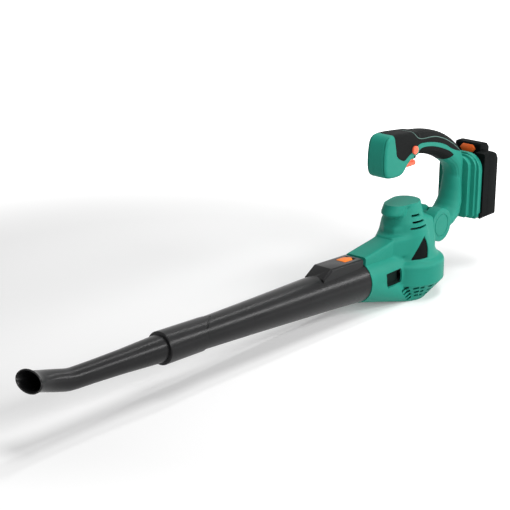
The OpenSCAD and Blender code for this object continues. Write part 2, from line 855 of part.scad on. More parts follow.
// Cheeks of the hinge knuckle, on both sides of the housing's tongue.
module knuckle() {
  inner = tongue_w + body_gap;
  y_rod(0, 0, knuckle_r, inner, knuckle_w);
  y_rod(0, 0, knuckle_r, -knuckle_w, -inner);
}

// Screw posts of the handle, as [x, z].
handle_posts = [[-112, 104], [-85, 132], [-10, 121], [57, 66], [56, 12]];

module handle_hollow() {
  slab(closed(grip_outline, -wall, curve_steps), wall - grip_w, grip_w - wall);
  box([mount_x - 4, wall - grip_w, mount_low + 7], [mount_face - wall, grip_w - wall, mount_top - 9]);
}

module handle_shell(side) {
  color(green) at_hinge() half(side) difference() {
    union() {
      difference() {
        union() {
          grip_solid();
          battery_mount();
        }
        handle_hollow();
      }
      intersection() {
        grip_solid();
        union() {
          for (post = handle_posts) y_rod(post[0], post[1], boss_r, -big, big);
          box([seat_x - seat_len / 2, -big, seat_z], [seat_x + seat_len / 2, big, seat_z + seat_t]);
          // Solid root of the arm at the knuckle
          box([tongue_r, -big, -20], [knuckle_r + 6, big, 20]);
        }
      }
      knuckle();
    }
    // Clears the housing's tongue
    y_rod(0, 0, tongue_r + body_gap + 0.4, -tongue_w - body_gap, tongue_w + body_gap);
    // Hinge bolt, its head and its nut
    y_rod(0, 0, bolt_r + run_gap, bolt_low, big);
    y_rod(0, 0, bolt_r + 4 + run_gap, bolt_head_y, big);
    // Trigger slot
    at_trigger() translate([-trigger_l / 2 - body_gap, -trigger_w / 2 - body_gap, -20])
      cube([trigger_l + 2 * body_gap, trigger_w + 2 * body_gap, 29 + trigger_travel]);
    // Lock-off button
    y_rod(lock_x, lock_z, lock_r + body_gap, grip_w - lock_head - lock_out, big);
    y_rod(lock_x, lock_z, lock_r + body_gap, -big, -grip_w + lock_head + lock_out);
    y_rod(lock_x, lock_z, lock_rod_r + body_gap, -big, big);
    // Terminal window
    box([mount_face - terminal_depth, -terminal_w - body_gap / 2, terminal_low - body_gap / 2],
      [channel_back, terminal_w + body_gap / 2, terminal_low + terminal_h + body_gap / 2]);
    for (post = handle_posts) {
      y_rod(post[0], post[1], screw_r + run_gap, -screw_bite, big);
      y_rod(post[0], post[1], screw_head_r + body_gap, handle_screw_seat, big);
    }
  }
}

module handle_left() { handle_shell(-1); }

module handle_right() { handle_shell(1); }

module hinge_bolt() {
  color(steel) at_hinge() {
    y_rod(0, 0, bolt_r, bolt_low + 1, bolt_head_y + eps);
    y_rod(0, 0, bolt_r + 4, bolt_head_y, bolt_head_y + 3);
  }
}

// Soft cover over the top of the grip.
module grip_cover() {
  color(black) at_hinge() difference() {
    union() {
      slab(strip(grip_outline, cover_from, cover_to, 0.02, soft_t, curve_steps), -grip_w, grip_w);
      for (side = [-1, 1]) on_side(side)
        slab(strip(grip_outline, cover_from, cover_to, -cover_depth, soft_t, curve_steps),
          -grip_w - soft_side, -grip_w);
    }
    y_rod(lock_x, lock_z, lock_r + body_gap, -big, big);
  }
}

// Soft pad under the grip.
module grip_pad() {
  color(black) at_hinge() {
    slab(strip(grip_outline, pad_from, pad_to, 0.02, soft_t, curve_steps), -grip_w, grip_w);
    for (side = [-1, 1]) on_side(side)
      slab(strip(grip_outline, pad_from, pad_to, -pad_depth, soft_t, curve_steps),
        -grip_w - soft_side, -grip_w);
  }
}

module switch_body() {
  color(black) at_hinge() translate([switch_x, -switch_size[1] / 2, switch_z]) cube(switch_size);
}

module control_board() {
  color([0.1, 0.35, 0.2]) at_hinge() box([board_x, -board_w, board_low],
    [board_x + board_t, board_w, board_top]);
}

module terminal_block() {
  color(black) at_hinge() difference() {
    box([mount_face - terminal_depth, -terminal_w, terminal_low],
      [channel_back - body_gap, terminal_w, terminal_low + terminal_h]);
    for (y = [-6, 0, 6]) box([mount_face, y - 0.8, terminal_low - 1],
      [channel_back, y + 0.8, terminal_low + terminal_h - 6]);
  }
}

module handle_screws() {
  color(steel) at_hinge() for (post = handle_posts) {
    y_rod(post[0], post[1], screw_r, -screw_bite + 1, handle_screw_seat + eps);
    y_rod(post[0], post[1], screw_head_r, handle_screw_seat, handle_screw_seat + screw_head_h);
  }
}

module trigger() {
  color(orange) at_hinge() at_trigger() difference() {
    union() {
      translate([-trigger_l / 2, -trigger_w / 2, -6]) cube([trigger_l, trigger_w, 6 + trigger_high]);
      translate([-trigger_l / 2, 0, -6]) rotate([0, 90, 0])
        intersection() {
          cylinder(h = trigger_l, r = trigger_w / 2);
          translate([0, -trigger_w, -1]) cube([trigger_w, 2 * trigger_w, trigger_l + 2]);
        }
    }
    translate([0, trigger_w, -22]) rotate([90, 0, 0]) cylinder(h = 2 * trigger_w, r = 12);
  }
}

module trigger_spring() {
  color(steel) at_hinge() translate([seat_x, 0, seat_z - spring_h]) coil(2.6, 0.4, spring_h, 3);
}

module lock_button() {
  color(orange) at_hinge() {
    y_rod(lock_x, lock_z, lock_rod_r, -grip_w - lock_out, grip_w + lock_out);
    for (side = [-1, 1]) on_side(side)
      y_rod(lock_x, lock_z, lock_r, -grip_w - lock_out, -grip_w - lock_out + lock_head);
  }
}

// ---- battery pack ----

// Outside of the pack, moved inwards by inset.
module pack_solid(inset) {
  half_w = pack_w / 2 - inset;
  head_half = head_w / 2 - inset;
  slab([[pack_x + inset, pack_z + inset], [pack_back - inset, pack_z + inset],
    [pack_back - inset, pack_top - corner_z],
    [pack_back - corner_x * 0.4 - inset * 0.8, pack_top - corner_z / 3 - inset * 0.4],
    [pack_back - corner_x - inset * 0.4, pack_top - inset], [pack_x + inset, pack_top - inset]],
    -half_w, half_w);
  slab([[head_x + inset, head_low + inset], [head_back - inset, head_low + inset],
    [head_back - inset, head_top - head_slope], [head_back - head_slope - inset, head_top - inset],
    [head_x + head_chamfer + inset, head_top - inset],
    [head_x + inset, head_top - head_chamfer - inset]],
    -head_half, head_half);
}

// Finger well in front of the head, open towards the mount.
module finger_well(grow) {
  box([pack_x - 1, -head_w / 2 - grow, pack_top - well_depth - grow],
    [head_x + grow, head_w / 2 + grow, big]);
}

// Channel that slides over the mount's rail, open at the pack's foot.
module pack_channel(grow, low) {
  top = rail_top + body_gap;
  box([pack_x - 1, -rail_neck_w - body_gap - grow, low], [channel_front + 1, rail_neck_w + body_gap + grow,
    top + grow]);
  box([channel_front - grow, -rail_flange_w - body_gap - grow, low],
    [channel_back + grow, rail_flange_w + body_gap + grow, top + grow]);
}

// Hexagonal release key, grown by a margin, between two values of x.
module release_solid(grow, x0, x1) {
  w = release_w + grow;
  h = release_h + grow;
  translate([x0, 0, release_z]) rotate([90, 0, 90]) linear_extrude(x1 - x0)
    polygon([[-w, 0], [release_cut - w, -h], [w - release_cut, -h], [w, 0], [w - release_cut, h],
      [release_cut - w, h]]);
}

module battery_whole() {
  difference() {
    union() {
      difference() {
        pack_solid(0);
        finger_well(0);
        difference() {
          pack_solid(pack_wall);
          finger_well(pack_wall);
        }
      }
      intersection() {
        pack_solid(0);
        pack_channel(2, pack_z);
      }
    }
    pack_channel(0, pack_z - 1);
    release_solid(body_gap, head_x - 1, head_x + release_depth + 1);
  }
}

module battery_front() {
  color(black) at_hinge() intersection() {
    battery_whole();
    box([0, -big, -big], [pack_split, big, big]);
  }
}

module battery_rear() {
  color(black) at_hinge() difference() {
    battery_whole();
    box([0, -big, -big], [pack_split, big, big]);
  }
}

module battery_cells() {
  color([0.35, 0.5, 0.75]) at_hinge() for (k = [0 : cell_count - 1])
    y_rod(cell_x, pack_z + pack_wall + 0.2 + cell_r + k * (2 * cell_r + 0.06), cell_r,
      -cell_len / 2, cell_len / 2);
}

module battery_board() {
  color([0.1, 0.35, 0.2]) at_hinge()
    box([pack_board_x, -pack_board_w, pack_z + 8],
      [pack_board_x + pack_board_t, pack_board_w, pack_top - 12]);
}

module release_key() {
  color(orange) at_hinge() release_solid(0, head_x - release_out, head_x - release_out + release_depth);
}

housing_left();
housing_right();
intake_cover();
tower_cap();
side_pocket_left();
side_pocket_right();
vane_insert_left();
vane_insert_right();
motor_mount();
motor_can();
motor_magnets();
motor_end_bell();
motor_screws();
housing_screws();
rotor();
fan_impeller();
fan_nut();
rear_tube();
latch_button();
latch_spring();
nozzle_tube();
handle_left();
handle_right();
hinge_bolt();
grip_cover();
grip_pad();
switch_body();
control_board();
terminal_block();
handle_screws();
trigger();
trigger_spring();
lock_button();
battery_front();
battery_rear();
battery_cells();
battery_board();
release_key();
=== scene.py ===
"""Looks of the cordless leaf blower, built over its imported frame.

The origin is on the ground under the fan's axis, with X towards the battery, Y towards the far side and Z up.
Lengths are in millimetres, and a finished piece is scaled to the frame's metres.
"""

import json
import math

import bmesh
import bpy
from mathutils import Matrix, Vector

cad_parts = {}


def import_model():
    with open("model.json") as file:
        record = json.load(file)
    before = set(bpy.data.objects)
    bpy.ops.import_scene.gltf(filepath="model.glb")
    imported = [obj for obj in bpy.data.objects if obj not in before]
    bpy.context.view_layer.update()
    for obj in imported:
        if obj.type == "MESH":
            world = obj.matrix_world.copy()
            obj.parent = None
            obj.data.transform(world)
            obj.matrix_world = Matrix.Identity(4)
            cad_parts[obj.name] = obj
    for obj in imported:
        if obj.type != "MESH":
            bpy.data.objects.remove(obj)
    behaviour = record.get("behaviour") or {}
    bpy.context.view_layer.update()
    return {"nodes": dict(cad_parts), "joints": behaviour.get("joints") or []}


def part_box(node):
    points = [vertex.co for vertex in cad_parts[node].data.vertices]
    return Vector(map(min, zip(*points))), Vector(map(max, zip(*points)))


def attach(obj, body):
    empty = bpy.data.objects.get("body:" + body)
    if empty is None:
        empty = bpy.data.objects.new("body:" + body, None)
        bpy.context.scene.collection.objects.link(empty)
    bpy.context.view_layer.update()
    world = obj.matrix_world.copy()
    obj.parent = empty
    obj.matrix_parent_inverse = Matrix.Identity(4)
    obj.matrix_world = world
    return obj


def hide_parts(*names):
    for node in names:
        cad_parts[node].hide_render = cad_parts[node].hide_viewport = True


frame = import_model()
MM = 0.001
FAR = 400  # reach of a tool that takes off all that lies past a plane
X, Y, Z = range(3)
crease = 32  # turn between two faces that makes their edge sharp, in degrees

# ---- driving sizes, and the frames of the main parts ----

tube_slope = 2.73  # climb of the tube's axis towards the nozzle, in degrees
tube_height = 40.1  # height of the tube's axis over the origin
tower_lean = 7.5  # lean of the motor tower towards the nozzle, in degrees
rim = 53  # top edge of the drum
skirt_top = 26  # top edge of the foot's sloping skirt
drum_radius = 55
duct_radius = 30
seam = 117  # station along the tube's axis at which the duct ends and the rear tube begins
shell = 2.6  # wall of a moulded shell


def shift(x, y, z):
    """A place moved off the origin."""
    return Matrix.Translation((x, y, z))


def turn(degrees, axis):
    """A place turned about an axis."""
    return Matrix.Rotation(math.radians(degrees), 4, axis)


def hinge_point():
    """The handle's hinge."""
    tilt = next(joint for joint in frame["joints"] if joint["name"] == "handle_tilt")
    return Vector(tilt["pos_m"]) / MM


# A place on the tube is its height over the axis, its side, and its station along the axis
TUBE = shift(0, 0, tube_height) @ turn(tube_slope - 90, "Y")
TOWER = shift(0, 0, rim) @ turn(-tower_lean, "Y")
hinge = hinge_point()
HINGE = Matrix.Translation(hinge)
# Turns a bar about Z to lie along Y, and a prism's length along Y to run rearwards
SIDEWAYS = turn(90, "X")
REARWARD = turn(-90, "Z")
bolt_bore = 4.1
bolt_head = 8.1
tongue_radius = 16
tongue_half = 8  # half the width of the housing's tongue, which stands between the handle's cheeks
cheek_gap = 8.4  # half the width between the cheeks


# ---- materials ----


def tint(red, green, blue):
    """A colour written in 0 to 255 display values, as the linear colour a shader takes."""
    linear = [c / 12.92 if c <= 0.04045 else ((c + 0.055) / 1.055) ** 2.4
              for c in (red / 255, green / 255, blue / 255)]
    return (*linear, 1)


class Value:
    """A number that changes over a surface, for sums written as in Python."""

    def __init__(self, finish, socket):
        self.finish = finish
        self.socket = socket

    def worked(self, operation, first, second):
        """The value of one step of a sum."""
        return self.finish.node("ShaderNodeMath", {"operation": operation}, {0: first, 1: second})

    def __add__(self, other):
        return self.worked("ADD", self, other)

    def __radd__(self, other):
        return self.worked("ADD", other, self)

    def __rsub__(self, other):
        return self.worked("SUBTRACT", other, self)

    def __mul__(self, other):
        return self.worked("MULTIPLY", self, other)


class Finish:
    """A material that is built from nodes, with constants set on the shader's own inputs."""

    def __init__(self, name, **constants):
        self.material = bpy.data.materials.new(name)
        self.material.use_nodes = True
        self.tree = self.material.node_tree
        self.shader = self.tree.nodes["Principled BSDF"]
        for socket, value in constants.items():
            self.shader.inputs[socket.replace("_", " ")].default_value = value
        self.place = self.node("ShaderNodeTexCoord", {}, {}, "Object")

    def node(self, kind, settings, inputs, output=0):
        """A new node with its settings made first and then its inputs fed, as the value of one output."""
        made = self.tree.nodes.new(kind)
        for key, value in settings.items():
            setattr(made, key, value)
        for key, value in inputs.items():
            self.feed(made.inputs[key], value)
        return Value(self, made.outputs[output])

    def feed(self, socket, value):
        """Links a value to an input, or sets a constant on it."""
        if isinstance(value, Value):
            self.tree.links.new(value.socket, socket)
        else:
            socket.default_value = value

    def noise(self, size, detail=2.0):
        """Soft noise whose patches are size millimetres across."""
        return self.node("ShaderNodeTexNoise", {}, {"Vector": self.place, "Scale": 1 / (size * MM),
                                                   "Detail": detail}, "Fac")

    def mixed(self, share, first, second):
        """A blend of two colours."""
        return self.node("ShaderNodeMix", {"data_type": "RGBA"}, {0: share, 6: first, 7: second}, 2)

    def step(self, value, low, high):
        """Rises smoothly from 0 to 1 between two values."""
        return self.node("ShaderNodeMapRange", {"interpolation_type": "SMOOTHSTEP"},
                         {"Value": value, "From Min": low, "From Max": high})

    def coloured(self, value):
        """Gives the surface its colour."""
        self.feed(self.shader.inputs["Base Color"], value)

    def rough(self, value):
        """Gives the surface its roughness."""
        self.feed(self.shader.inputs["Roughness"], value)

    def relief(self, height, depth):
        """Raises the surface where the height is 1, by a depth in millimetres."""
        bump = self.node("ShaderNodeBump", {}, {"Strength": 1.0, "Distance": depth * MM, "Height": height})
        self.feed(self.shader.inputs["Normal"], bump)


def moulded(name, colour, worn, roughness, grain, depth, shine=0.5, **constants):
    """Moulded plastic: a fine grain of some depth, slow changes of colour and faint rubbed patches."""
    finish = Finish(name, Specular_IOR_Level=shine, **constants)
    patches = finish.step(finish.noise(26, 3.0), 0.35, 0.75)
    fine = finish.noise(grain)
    finish.coloured(finish.mixed(patches * 0.5 + fine * 0.3, tint(*colour), tint(*worn)))
    finish.rough(roughness + patches * 0.05 + fine * 0.08)
    finish.relief(fine, depth)
    return finish.material


def metal(name, colour, roughness, size):
    """Plain metal with fine turning marks."""
    finish = Finish(name, Metallic=1.0)
    marks = finish.noise(size, 4.0)
    finish.coloured(finish.mixed(marks, tint(*colour), tint(150, 150, 152)))
    finish.rough(roughness + marks * 0.15)
    finish.relief(marks, 0.01)
    return finish.material


green_plastic = moulded("green_moulding", (29, 132, 114), (36, 139, 121), 0.46, 0.6, 0.02, 0.16)
tube_plastic = moulded("tube_moulding", (16, 16, 17), (22, 22, 23), 0.24, 0.7, 0.008, 0.2)
pack_plastic = moulded("pack_moulding", (4, 7, 7), (9, 12, 12), 0.62, 0.7, 0.03, 0.05)
inner_plastic = moulded("inner_moulding", (40, 40, 42), (50, 50, 52), 0.5, 0.8, 0.03)
rubber = moulded("soft_rubber", (8, 10, 10), (16, 18, 18), 0.66, 0.5, 0.06, 0.1)
vane_plastic = moulded("vane_moulding", (2, 6, 6), (6, 10, 10), 0.7, 0.8, 0.03, 0.1)
# Painted shade: the flank window's bottom is green moulding in shadow, coloured here as a dark green sheet
pocket_painted_shade = moulded("pocket_painted_shade_moulding", (6, 26, 22), (10, 32, 27), 0.7, 0.8, 0.03, 0.15)
latch_orange = moulded("latch_moulding", (244, 124, 22), (246, 132, 30), 0.4, 0.5, 0.01, 0.25)
release_orange = moulded("release_moulding", (232, 98, 30), (236, 108, 40), 0.4, 0.5, 0.01)
trigger_orange = moulded("trigger_moulding", (248, 100, 66), (250, 110, 76), 0.4, 0.5, 0.01)
accent_plastic = moulded("accent_moulding", (58, 96, 86), (68, 106, 96), 0.45, 0.5, 0.01)
steel = metal("bright_steel", (190, 190, 194), 0.28, 0.6)
magnet = metal("magnet_ferrite", (70, 70, 74), 0.5, 0.8)
cell_wrap = moulded("cell_wrap", (70, 110, 180), (84, 122, 190), 0.35, 2.0, 0.01, Coat_Weight=0.3)


def circuit_board():
    """Green board with copper tracks under its lacquer."""
    finish = Finish("circuit_board", Coat_Weight=0.4)
    tracks = finish.node("ShaderNodeTexVoronoi", {"feature": "DISTANCE_TO_EDGE"},
                         {"Vector": finish.place, "Scale": 1 / (5 * MM)}, "Distance")
    line = 1 - finish.step(tracks, 0.04, 0.07)
    finish.coloured(finish.mixed(line, tint(20, 84, 52), tint(46, 130, 84)))
    finish.rough(0.4 - line * 0.1)
    finish.relief(line, 0.05)
    return finish.material


board_green = circuit_board()


# ---- making solids ----


def outward(bm):
    """Turns all faces outwards."""
    bmesh.ops.recalc_face_normals(bm, faces=bm.faces[:])
    return bm


def spun(profile, place=Matrix(), steps=112):
    """A solid turned about Z from a profile of [radius, height]; off the axis it is a ring."""
    bm = bmesh.new()
    points = [bm.verts.new((radius, 0, height)) for radius, height in profile]
    ends = zip(points, points[1:] + points[:1]) if profile[0][0] > 0 else zip(points, points[1:])
    lines = [bm.edges.new(pair) for pair in ends]
    bmesh.ops.spin(bm, geom=points + lines, cent=(0, 0, 0), axis=(0, 0, 1), angle=2 * math.pi,
                   steps=steps, use_merge=True, use_duplicate=False)
    bmesh.ops.remove_doubles(bm, verts=bm.verts[:], dist=1e-4)
    outward(bm)
    bm.transform(place)
    return bm


def cylinder(radius, low, high, place=Matrix(), steps=112):
    """A round bar about Z between two heights."""
    return spun([(0, low), (radius, low), (radius, high), (0, high)], place, steps)


def prism(outline, low, high, place=Matrix()):
    """A solid with an outline of [x, z] points between two values of Y."""
    bm = bmesh.new()
    face = bm.faces.new([bm.verts.new((x, low, z)) for x, z in outline])
    made = bmesh.ops.extrude_face_region(bm, geom=[face])["geom"]
    moved = [part for part in made if isinstance(part, bmesh.types.BMVert)]
    bmesh.ops.translate(bm, verts=moved, vec=(0, high - low, 0))
    outward(bm)
    bm.transform(place)
    return bm


def angles(*steps):
    """The angles of a range of degrees, in radians."""
    return [math.radians(step) for step in range(*steps)]


def span(edge, axis):
    """How far an edge runs along an axis."""
    return abs(edge.verts[0].co[axis] - edge.verts[1].co[axis])


def beyond(edge, axis, limit):
    """Whether all of an edge lies past a value on an axis."""
    return all(vert.co[axis] > limit for vert in edge.verts)


def reaches(edge, axis, limit):
    """Whether some of an edge lies past a value on an axis."""
    return any(vert.co[axis] > limit for vert in edge.verts)


def softened(bm, offset, segments=3, chosen=None):
    """Rounds the chosen edges, or all of them."""
    edges = [edge for edge in bm.edges if chosen is None or chosen(edge)]
    bmesh.ops.bevel(bm, geom=edges, offset=offset, segments=segments, profile=0.5, affect="EDGES",
                    material=-1, clamp_overlap=True)
    return bm


def block(low, high, edge=0.0, place=Matrix(), segments=3):
    """A box between two corners, with rounded edges."""
    low, high = Vector(low), Vector(high)
    bm = bmesh.new()
    bmesh.ops.create_cube(bm, size=1)
    bmesh.ops.scale(bm, verts=bm.verts[:], vec=high - low)
    bmesh.ops.translate(bm, verts=bm.verts[:], vec=(low + high) / 2)
    if edge:
        softened(bm, edge, segments)
    bm.transform(place)
    return bm


def rod(x, z, radius, low, high, edge=0.0, steps=64):
    """A round bar along Y with rounded rims."""
    arc = [(radius - edge + edge * math.sin(a), edge - edge * math.cos(a))
           for a in (angles(0, 91, 30) if edge else angles(90, 91))]
    length = high - low
    profile = [(0, 0), *arc, *[(r, length - h) for r, h in reversed(arc)], (0, length)]
    return spun(profile, shift(x, high, z) @ SIDEWAYS, steps)


def loft(rings, closed=False, sides=72):
    """A skin over rings of (place, half width, half width); a closed one runs back to its first ring."""
    bm = bmesh.new()
    loops = []
    for place, across, deep in rings:
        made = bmesh.ops.create_circle(bm, segments=sides, radius=1,
                                       matrix=place @ Matrix.Diagonal((across, deep, 1, 1)))
        loops.append(list({edge for vert in made["verts"] for edge in vert.link_edges}))
    for first, second in zip(loops, loops[1:] + (loops[:1] if closed else [])):
        bmesh.ops.bridge_loops(bm, edges=first + second)
    if not closed:
        bmesh.ops.holes_fill(bm, edges=bm.edges[:], sides=0)
    return outward(bm)


def wrapped(*parts):
    """The convex wrap around the corners of some solids."""
    bm = bmesh.new()
    for part in parts:
        for vert in part.verts:
            bm.verts.new(vert.co)
        part.free()
    hull = bmesh.ops.convex_hull(bm, input=bm.verts[:])
    inner = [part for part in hull["geom_interior"] if isinstance(part, bmesh.types.BMVert)]
    bmesh.ops.delete(bm, geom=inner, context="VERTS")
    return outward(bm)


def curve(points, steps=6, closed=False):
    """A smooth curve through [x, z] points."""
    count = len(points)

    def at(index):
        return Vector(points[index % count] if closed else points[max(0, min(count - 1, index))])

    line = []
    for i in range(count if closed else count - 1):
        a, b, c, d = at(i - 1), at(i), at(i + 1), at(i + 2)
        for k in range(steps):
            t = k / steps
            line.append(0.5 * (2 * b + (c - a) * t + (2 * a - 5 * b + 4 * c - d) * t * t
                               + (3 * b - a - 3 * c + d) * t ** 3))
    return line if closed else [*line, at(count - 1)]


def inset(line, distance):
    """A closed outline moved inwards; the outline runs clockwise seen from -Y."""
    moved = []
    for i, point in enumerate(line):
        along = line[(i + 1) % len(line)] - line[i - 1]
        side = Vector((along.y, -along.x)).normalized()
        moved.append(point + side * distance)
    return moved


def joined(*parts):
    """Several solids in one mesh."""
    bm = bmesh.new()
    mesh = bpy.data.meshes.new("joined")
    for part in parts:
        part.to_mesh(mesh)
        part.free()
        bm.from_mesh(mesh)
    bpy.data.meshes.remove(mesh)
    return bm


def placed(name, data):
    """A new object in the scene."""
    made = bpy.data.objects.new(name, data)
    bpy.context.scene.collection.objects.link(made)
    return made


def body_of(bm):
    """An object made from a bmesh."""
    mesh = bpy.data.meshes.new("solid")
    bm.to_mesh(mesh)
    bm.free()
    return placed("solid", mesh)


def applied(body, modifier):
    """A body whose modifier has become part of its mesh."""
    bpy.context.view_layer.objects.active = body
    bpy.ops.object.modifier_apply(modifier=modifier.name)
    return body


def melted(voxel, rounds, *parts):
    """One skin over overlapping solids, whose corners run together over some rounds of smoothing."""
    body = body_of(joined(*parts))
    skin = body.modifiers.new("skin", "REMESH")
    skin.mode = "VOXEL"
    skin.voxel_size = voxel
    applied(body, skin)
    ease = body.modifiers.new("ease", "SMOOTH")
    ease.factor = 0.5
    ease.iterations = rounds
    return applied(body, ease)


def shaped(body, how, *tools):
    """Cuts tools from a body, adds them to it, or keeps what they share, one tool after another."""
    for tool in tools:
        other = tool if isinstance(tool, bpy.types.Object) else body_of(tool)
        change = body.modifiers.new("shape", "BOOLEAN")
        change.operation = how
        change.solver = "MANIFOLD"
        change.object = other
        applied(body, change)
        bpy.data.objects.remove(other)
    return body


def cut(body, *tools):
    """A body without what some tools cover."""
    return shaped(body, "DIFFERENCE", *tools)


def add(body, *tools):
    """A body run together with some tools."""
    return shaped(body, "UNION", *tools)


def keep(body, *tools):
    """What a body shares with some tools."""
    return shaped(body, "INTERSECT", *tools)


def copied(body):
    """A second body with a mesh of its own."""
    again = body.copy()
    again.data = body.data.copy()
    bpy.context.scene.collection.objects.link(again)
    return again


def halved(body):
    """The two halves of a body, the one on the near side first."""
    far = copied(body)
    keep(body, block((-900, -200, -100), (FAR, 0, 500)))
    keep(far, block((-900, 0, -100), (FAR, 200, 500)))
    return body, far


def piece(body, name, material, rides, stands_for=()):
    """Finishes a body as a piece of the blower, with sharp edges where its faces turn by over crease."""
    if not isinstance(body, bpy.types.Object):
        body = body_of(body)
    body.name = name
    body.data.name = name
    body.data.transform(Matrix.Scale(MM, 4))
    body.data.materials.clear()
    body.data.materials.append(material)
    body.data.shade_smooth()
    body.data.set_sharp_from_angle(angle=math.radians(crease))
    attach(body, rides)
    if stands_for:
        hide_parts(*stands_for)


def pair(body, name, material, rides, slot, stands_for):
    """Finishes the two halves of a body as two pieces."""
    for side, half in zip(("left", "right"), halved(body)):
        piece(half, f"{name}_{side}", material, rides, [f"{stands_for}_{side}"])


def dressed(node, material):
    """Gives a finish to a CAD node, which keeps its shape."""
    body = frame["nodes"][node]
    body.data.materials.clear()
    body.data.materials.append(material)


# ---- fan housing ----

# Foot's base ring
base_radius = 36
base_x = -11
# Height on the tower at which its cap begins, and the height of the cap's flat top
cap_foot = 59.8
cap_top = 135
# Tower as [radius, height on its axis], and the cap and its nose as rings of [x, z, radius]
tower_line = [(46, -9), (46.5, 0), (42.6, 9), (39.4, 19), (37.3, 29), (33.7, 45), (29.9, 60)]
cap_rings = [(-7.9, 109, 29.6), (-5.5, 122, 25.1), (-3.1, 135, 20.4), (-2, 141, 18.3)]
nose_rings = [(-12, 111.5, 13), (-24, 116.5, 13), (-31, 119.5, 14.5), (-33, 122, 16.6), (-31.5, 126, 17),
              (-28.5, 131, 16.6), (-24.5, 141, 15.8)]
cap_wall = 2.4  # wall of the cap, and behind the knuckle's seat
seat_radius = 25.2  # round seat in the housing that takes the knuckle
# Dark vane in the tower's flank: its outline as [x, z], how deep it is let in and how far its face lies back
vane_line = [(-6, 90), (-2.5, 81), (-2, 71), (-6, 60.5), (-30, 59.5), (-21, 73), (-13, 83.5)]
vane_depth = 2.4
vane_face = 1.1
# Vents in the tower's flank: both ends of each as [x, z]
vent_rows = [((-20, 119), (-6, 119.4)), ((-22, 110.5), (-1, 111)), ((-26, 102.4), (3, 103.3))]
vent_height = 3.0
# Columns of slots in the skirt: angle round the fan's axis, length, lean, pitch and number of rows
slot_columns = [(217, 12.6, 23, 5.1, 4), (235, 8.6, 12, 6.3, 3), (245.5, 6.6, 4, 6.4, 3),
                (261, 10.5, 0, 6.6, 3), (277, 9, -3, 6.4, 3), (293, 9, -8, 6.4, 3), (309, 9, -12, 6.3, 3)]
slot_top = 22  # height of the upper row
slot_shift = 4.6  # degrees by which each row stands further round than the one above it
slot_shorter = 0.13  # share by which each row is shorter than the upper one
slot_half = 1.55  # half the height of a row
# Slots in the underside: how many stand round the middle, and how far from it each begins and ends
intake_count = 16
intake_inner = 10
intake_outer = 31
# Screws of the housing: x, z and the depth of the head's seat
screw_places = [(-96, 80, 14.5), (-31, 63, 30), (33, 61, 28)]


def upright(rings, less=0.0):
    """Rings of [x, z, radius] that stand one over another, made smaller by some wall."""
    return loft([(shift(x, 0, z), radius - less, radius - less) for x, z, radius in rings])


def crown():
    """Flat top that runs from the tower out over the nose."""
    rear = upright([(-3.4, 132, 21.2), cap_rings[-1]])
    return wrapped(rear, upright([(-28, 132, 16.4), nose_rings[-1]]))


def tower_profile(less=0.0, low=-9, high=60):
    """The tower between two heights as a profile, moved inwards."""
    line = [(radius - less, height) for radius, height in curve(tower_line, 4) if low <= height <= high]
    return [(0, line[0][1]), *line, (0, line[-1][1])]


def drum():
    """Round fan chamber with an eased rim."""
    return spun([(0, skirt_top - 6), (drum_radius, skirt_top - 6), (drum_radius, rim - 1),
                 (drum_radius - 1.5, rim + 1), (46, rim + 4), (0, rim + 5)])


def duct():
    """Air duct, made too long here and cut square at the seam later."""
    return cylinder(duct_radius, 0, seam + 8, TUBE)


def ear():
    """Rear flank that grows out of the tower and ends at the hinge's seat."""
    low = cylinder(42, 5, 9, TOWER, 64)
    high = cylinder(29.5, 56, 59, TOWER, 64)
    return wrapped(low, high, block((30, -24, 62), (37.4, 24, 104)))


def shoe():
    """Underside that runs from the foot's base ring out to the duct's end."""
    end = cylinder(duct_radius - 0.4, seam - 1, seam, TUBE)
    return wrapped(end, cylinder(base_radius, 0, 1, shift(base_x, 0, 0)))


def skirt():
    """Sloping side of the foot, from the drum down to the smaller base ring."""
    return loft([(shift(base_x, 0, 0), base_radius, base_radius),
                 (shift(0, 0, skirt_top), drum_radius, drum_radius),
                 (shift(0, 0, skirt_top + 8), drum_radius, drum_radius)], sides=112)


def platform():
    """Raised spine between the latch block and the tower, with rounded shoulders."""
    top = curve([(-117, 81.4), (-104, 83.2), (-90, 85.2), (-76, 87), (-62, 88.8), (-50, 91), (-40, 94),
                 (-24, 99)], 4)
    bm = prism([(-120, 60), (-120, 80.9), *[tuple(point) for point in top], (-24, 60)], -16.5, 16.5)
    return softened(bm, 3.5, 4, lambda edge: beyond(edge, Z, 75) and span(edge, Y) < 1
                    and edge.calc_length() < 25)


def fillet():
    """Rounded foot of the tower on the spine."""
    low = wrapped(spun([(0, 30), (37, 30), (34, 44), (0, 44)], TOWER, 64),
                  block((-52, -13, 70), (-47, 13, 93)))
    high = wrapped(spun([(0, 44), (33.8, 44), (30.3, 57), (0, 57)], TOWER, 64),
                   block((-42, -8, 90), (-40.5, 8, 103)))
    return joined(low, high)


def shoulder():
    """Soft flank between the spine and the tower."""
    return wrapped(spun([(0, 20), (37, 20), (35.5, 40), (0, 40)], TOWER, 64),
                   block((-58, -14, 60), (-52, 14, 88)))


def slot_bar(start, end, height, near, far):
    """A cutter for one slot with round ends from one [x, z] point to another."""
    start, end = Vector(start), Vector(end)
    radius = height / 2
    along = end - start
    reach = along.length / 2 - radius
    arcs = [(reach + radius * math.sin(a), radius * math.cos(a)) for a in angles(0, 181, 30)]
    arcs += [(-x, -y) for x, y in arcs]
    middle = (start + end) / 2
    return prism(arcs, near, far, shift(middle.x, 0, middle.y)
                 @ Matrix.Rotation(-math.atan2(along.y, along.x), 4, "Y"))


def mirrored(bm):
    """A solid and its mirror image on the other side."""
    other = bm.copy()
    bmesh.ops.scale(other, verts=other.verts[:], vec=(1, -1, 1))
    bmesh.ops.reverse_faces(other, faces=other.faces[:])
    return joined(bm, other)


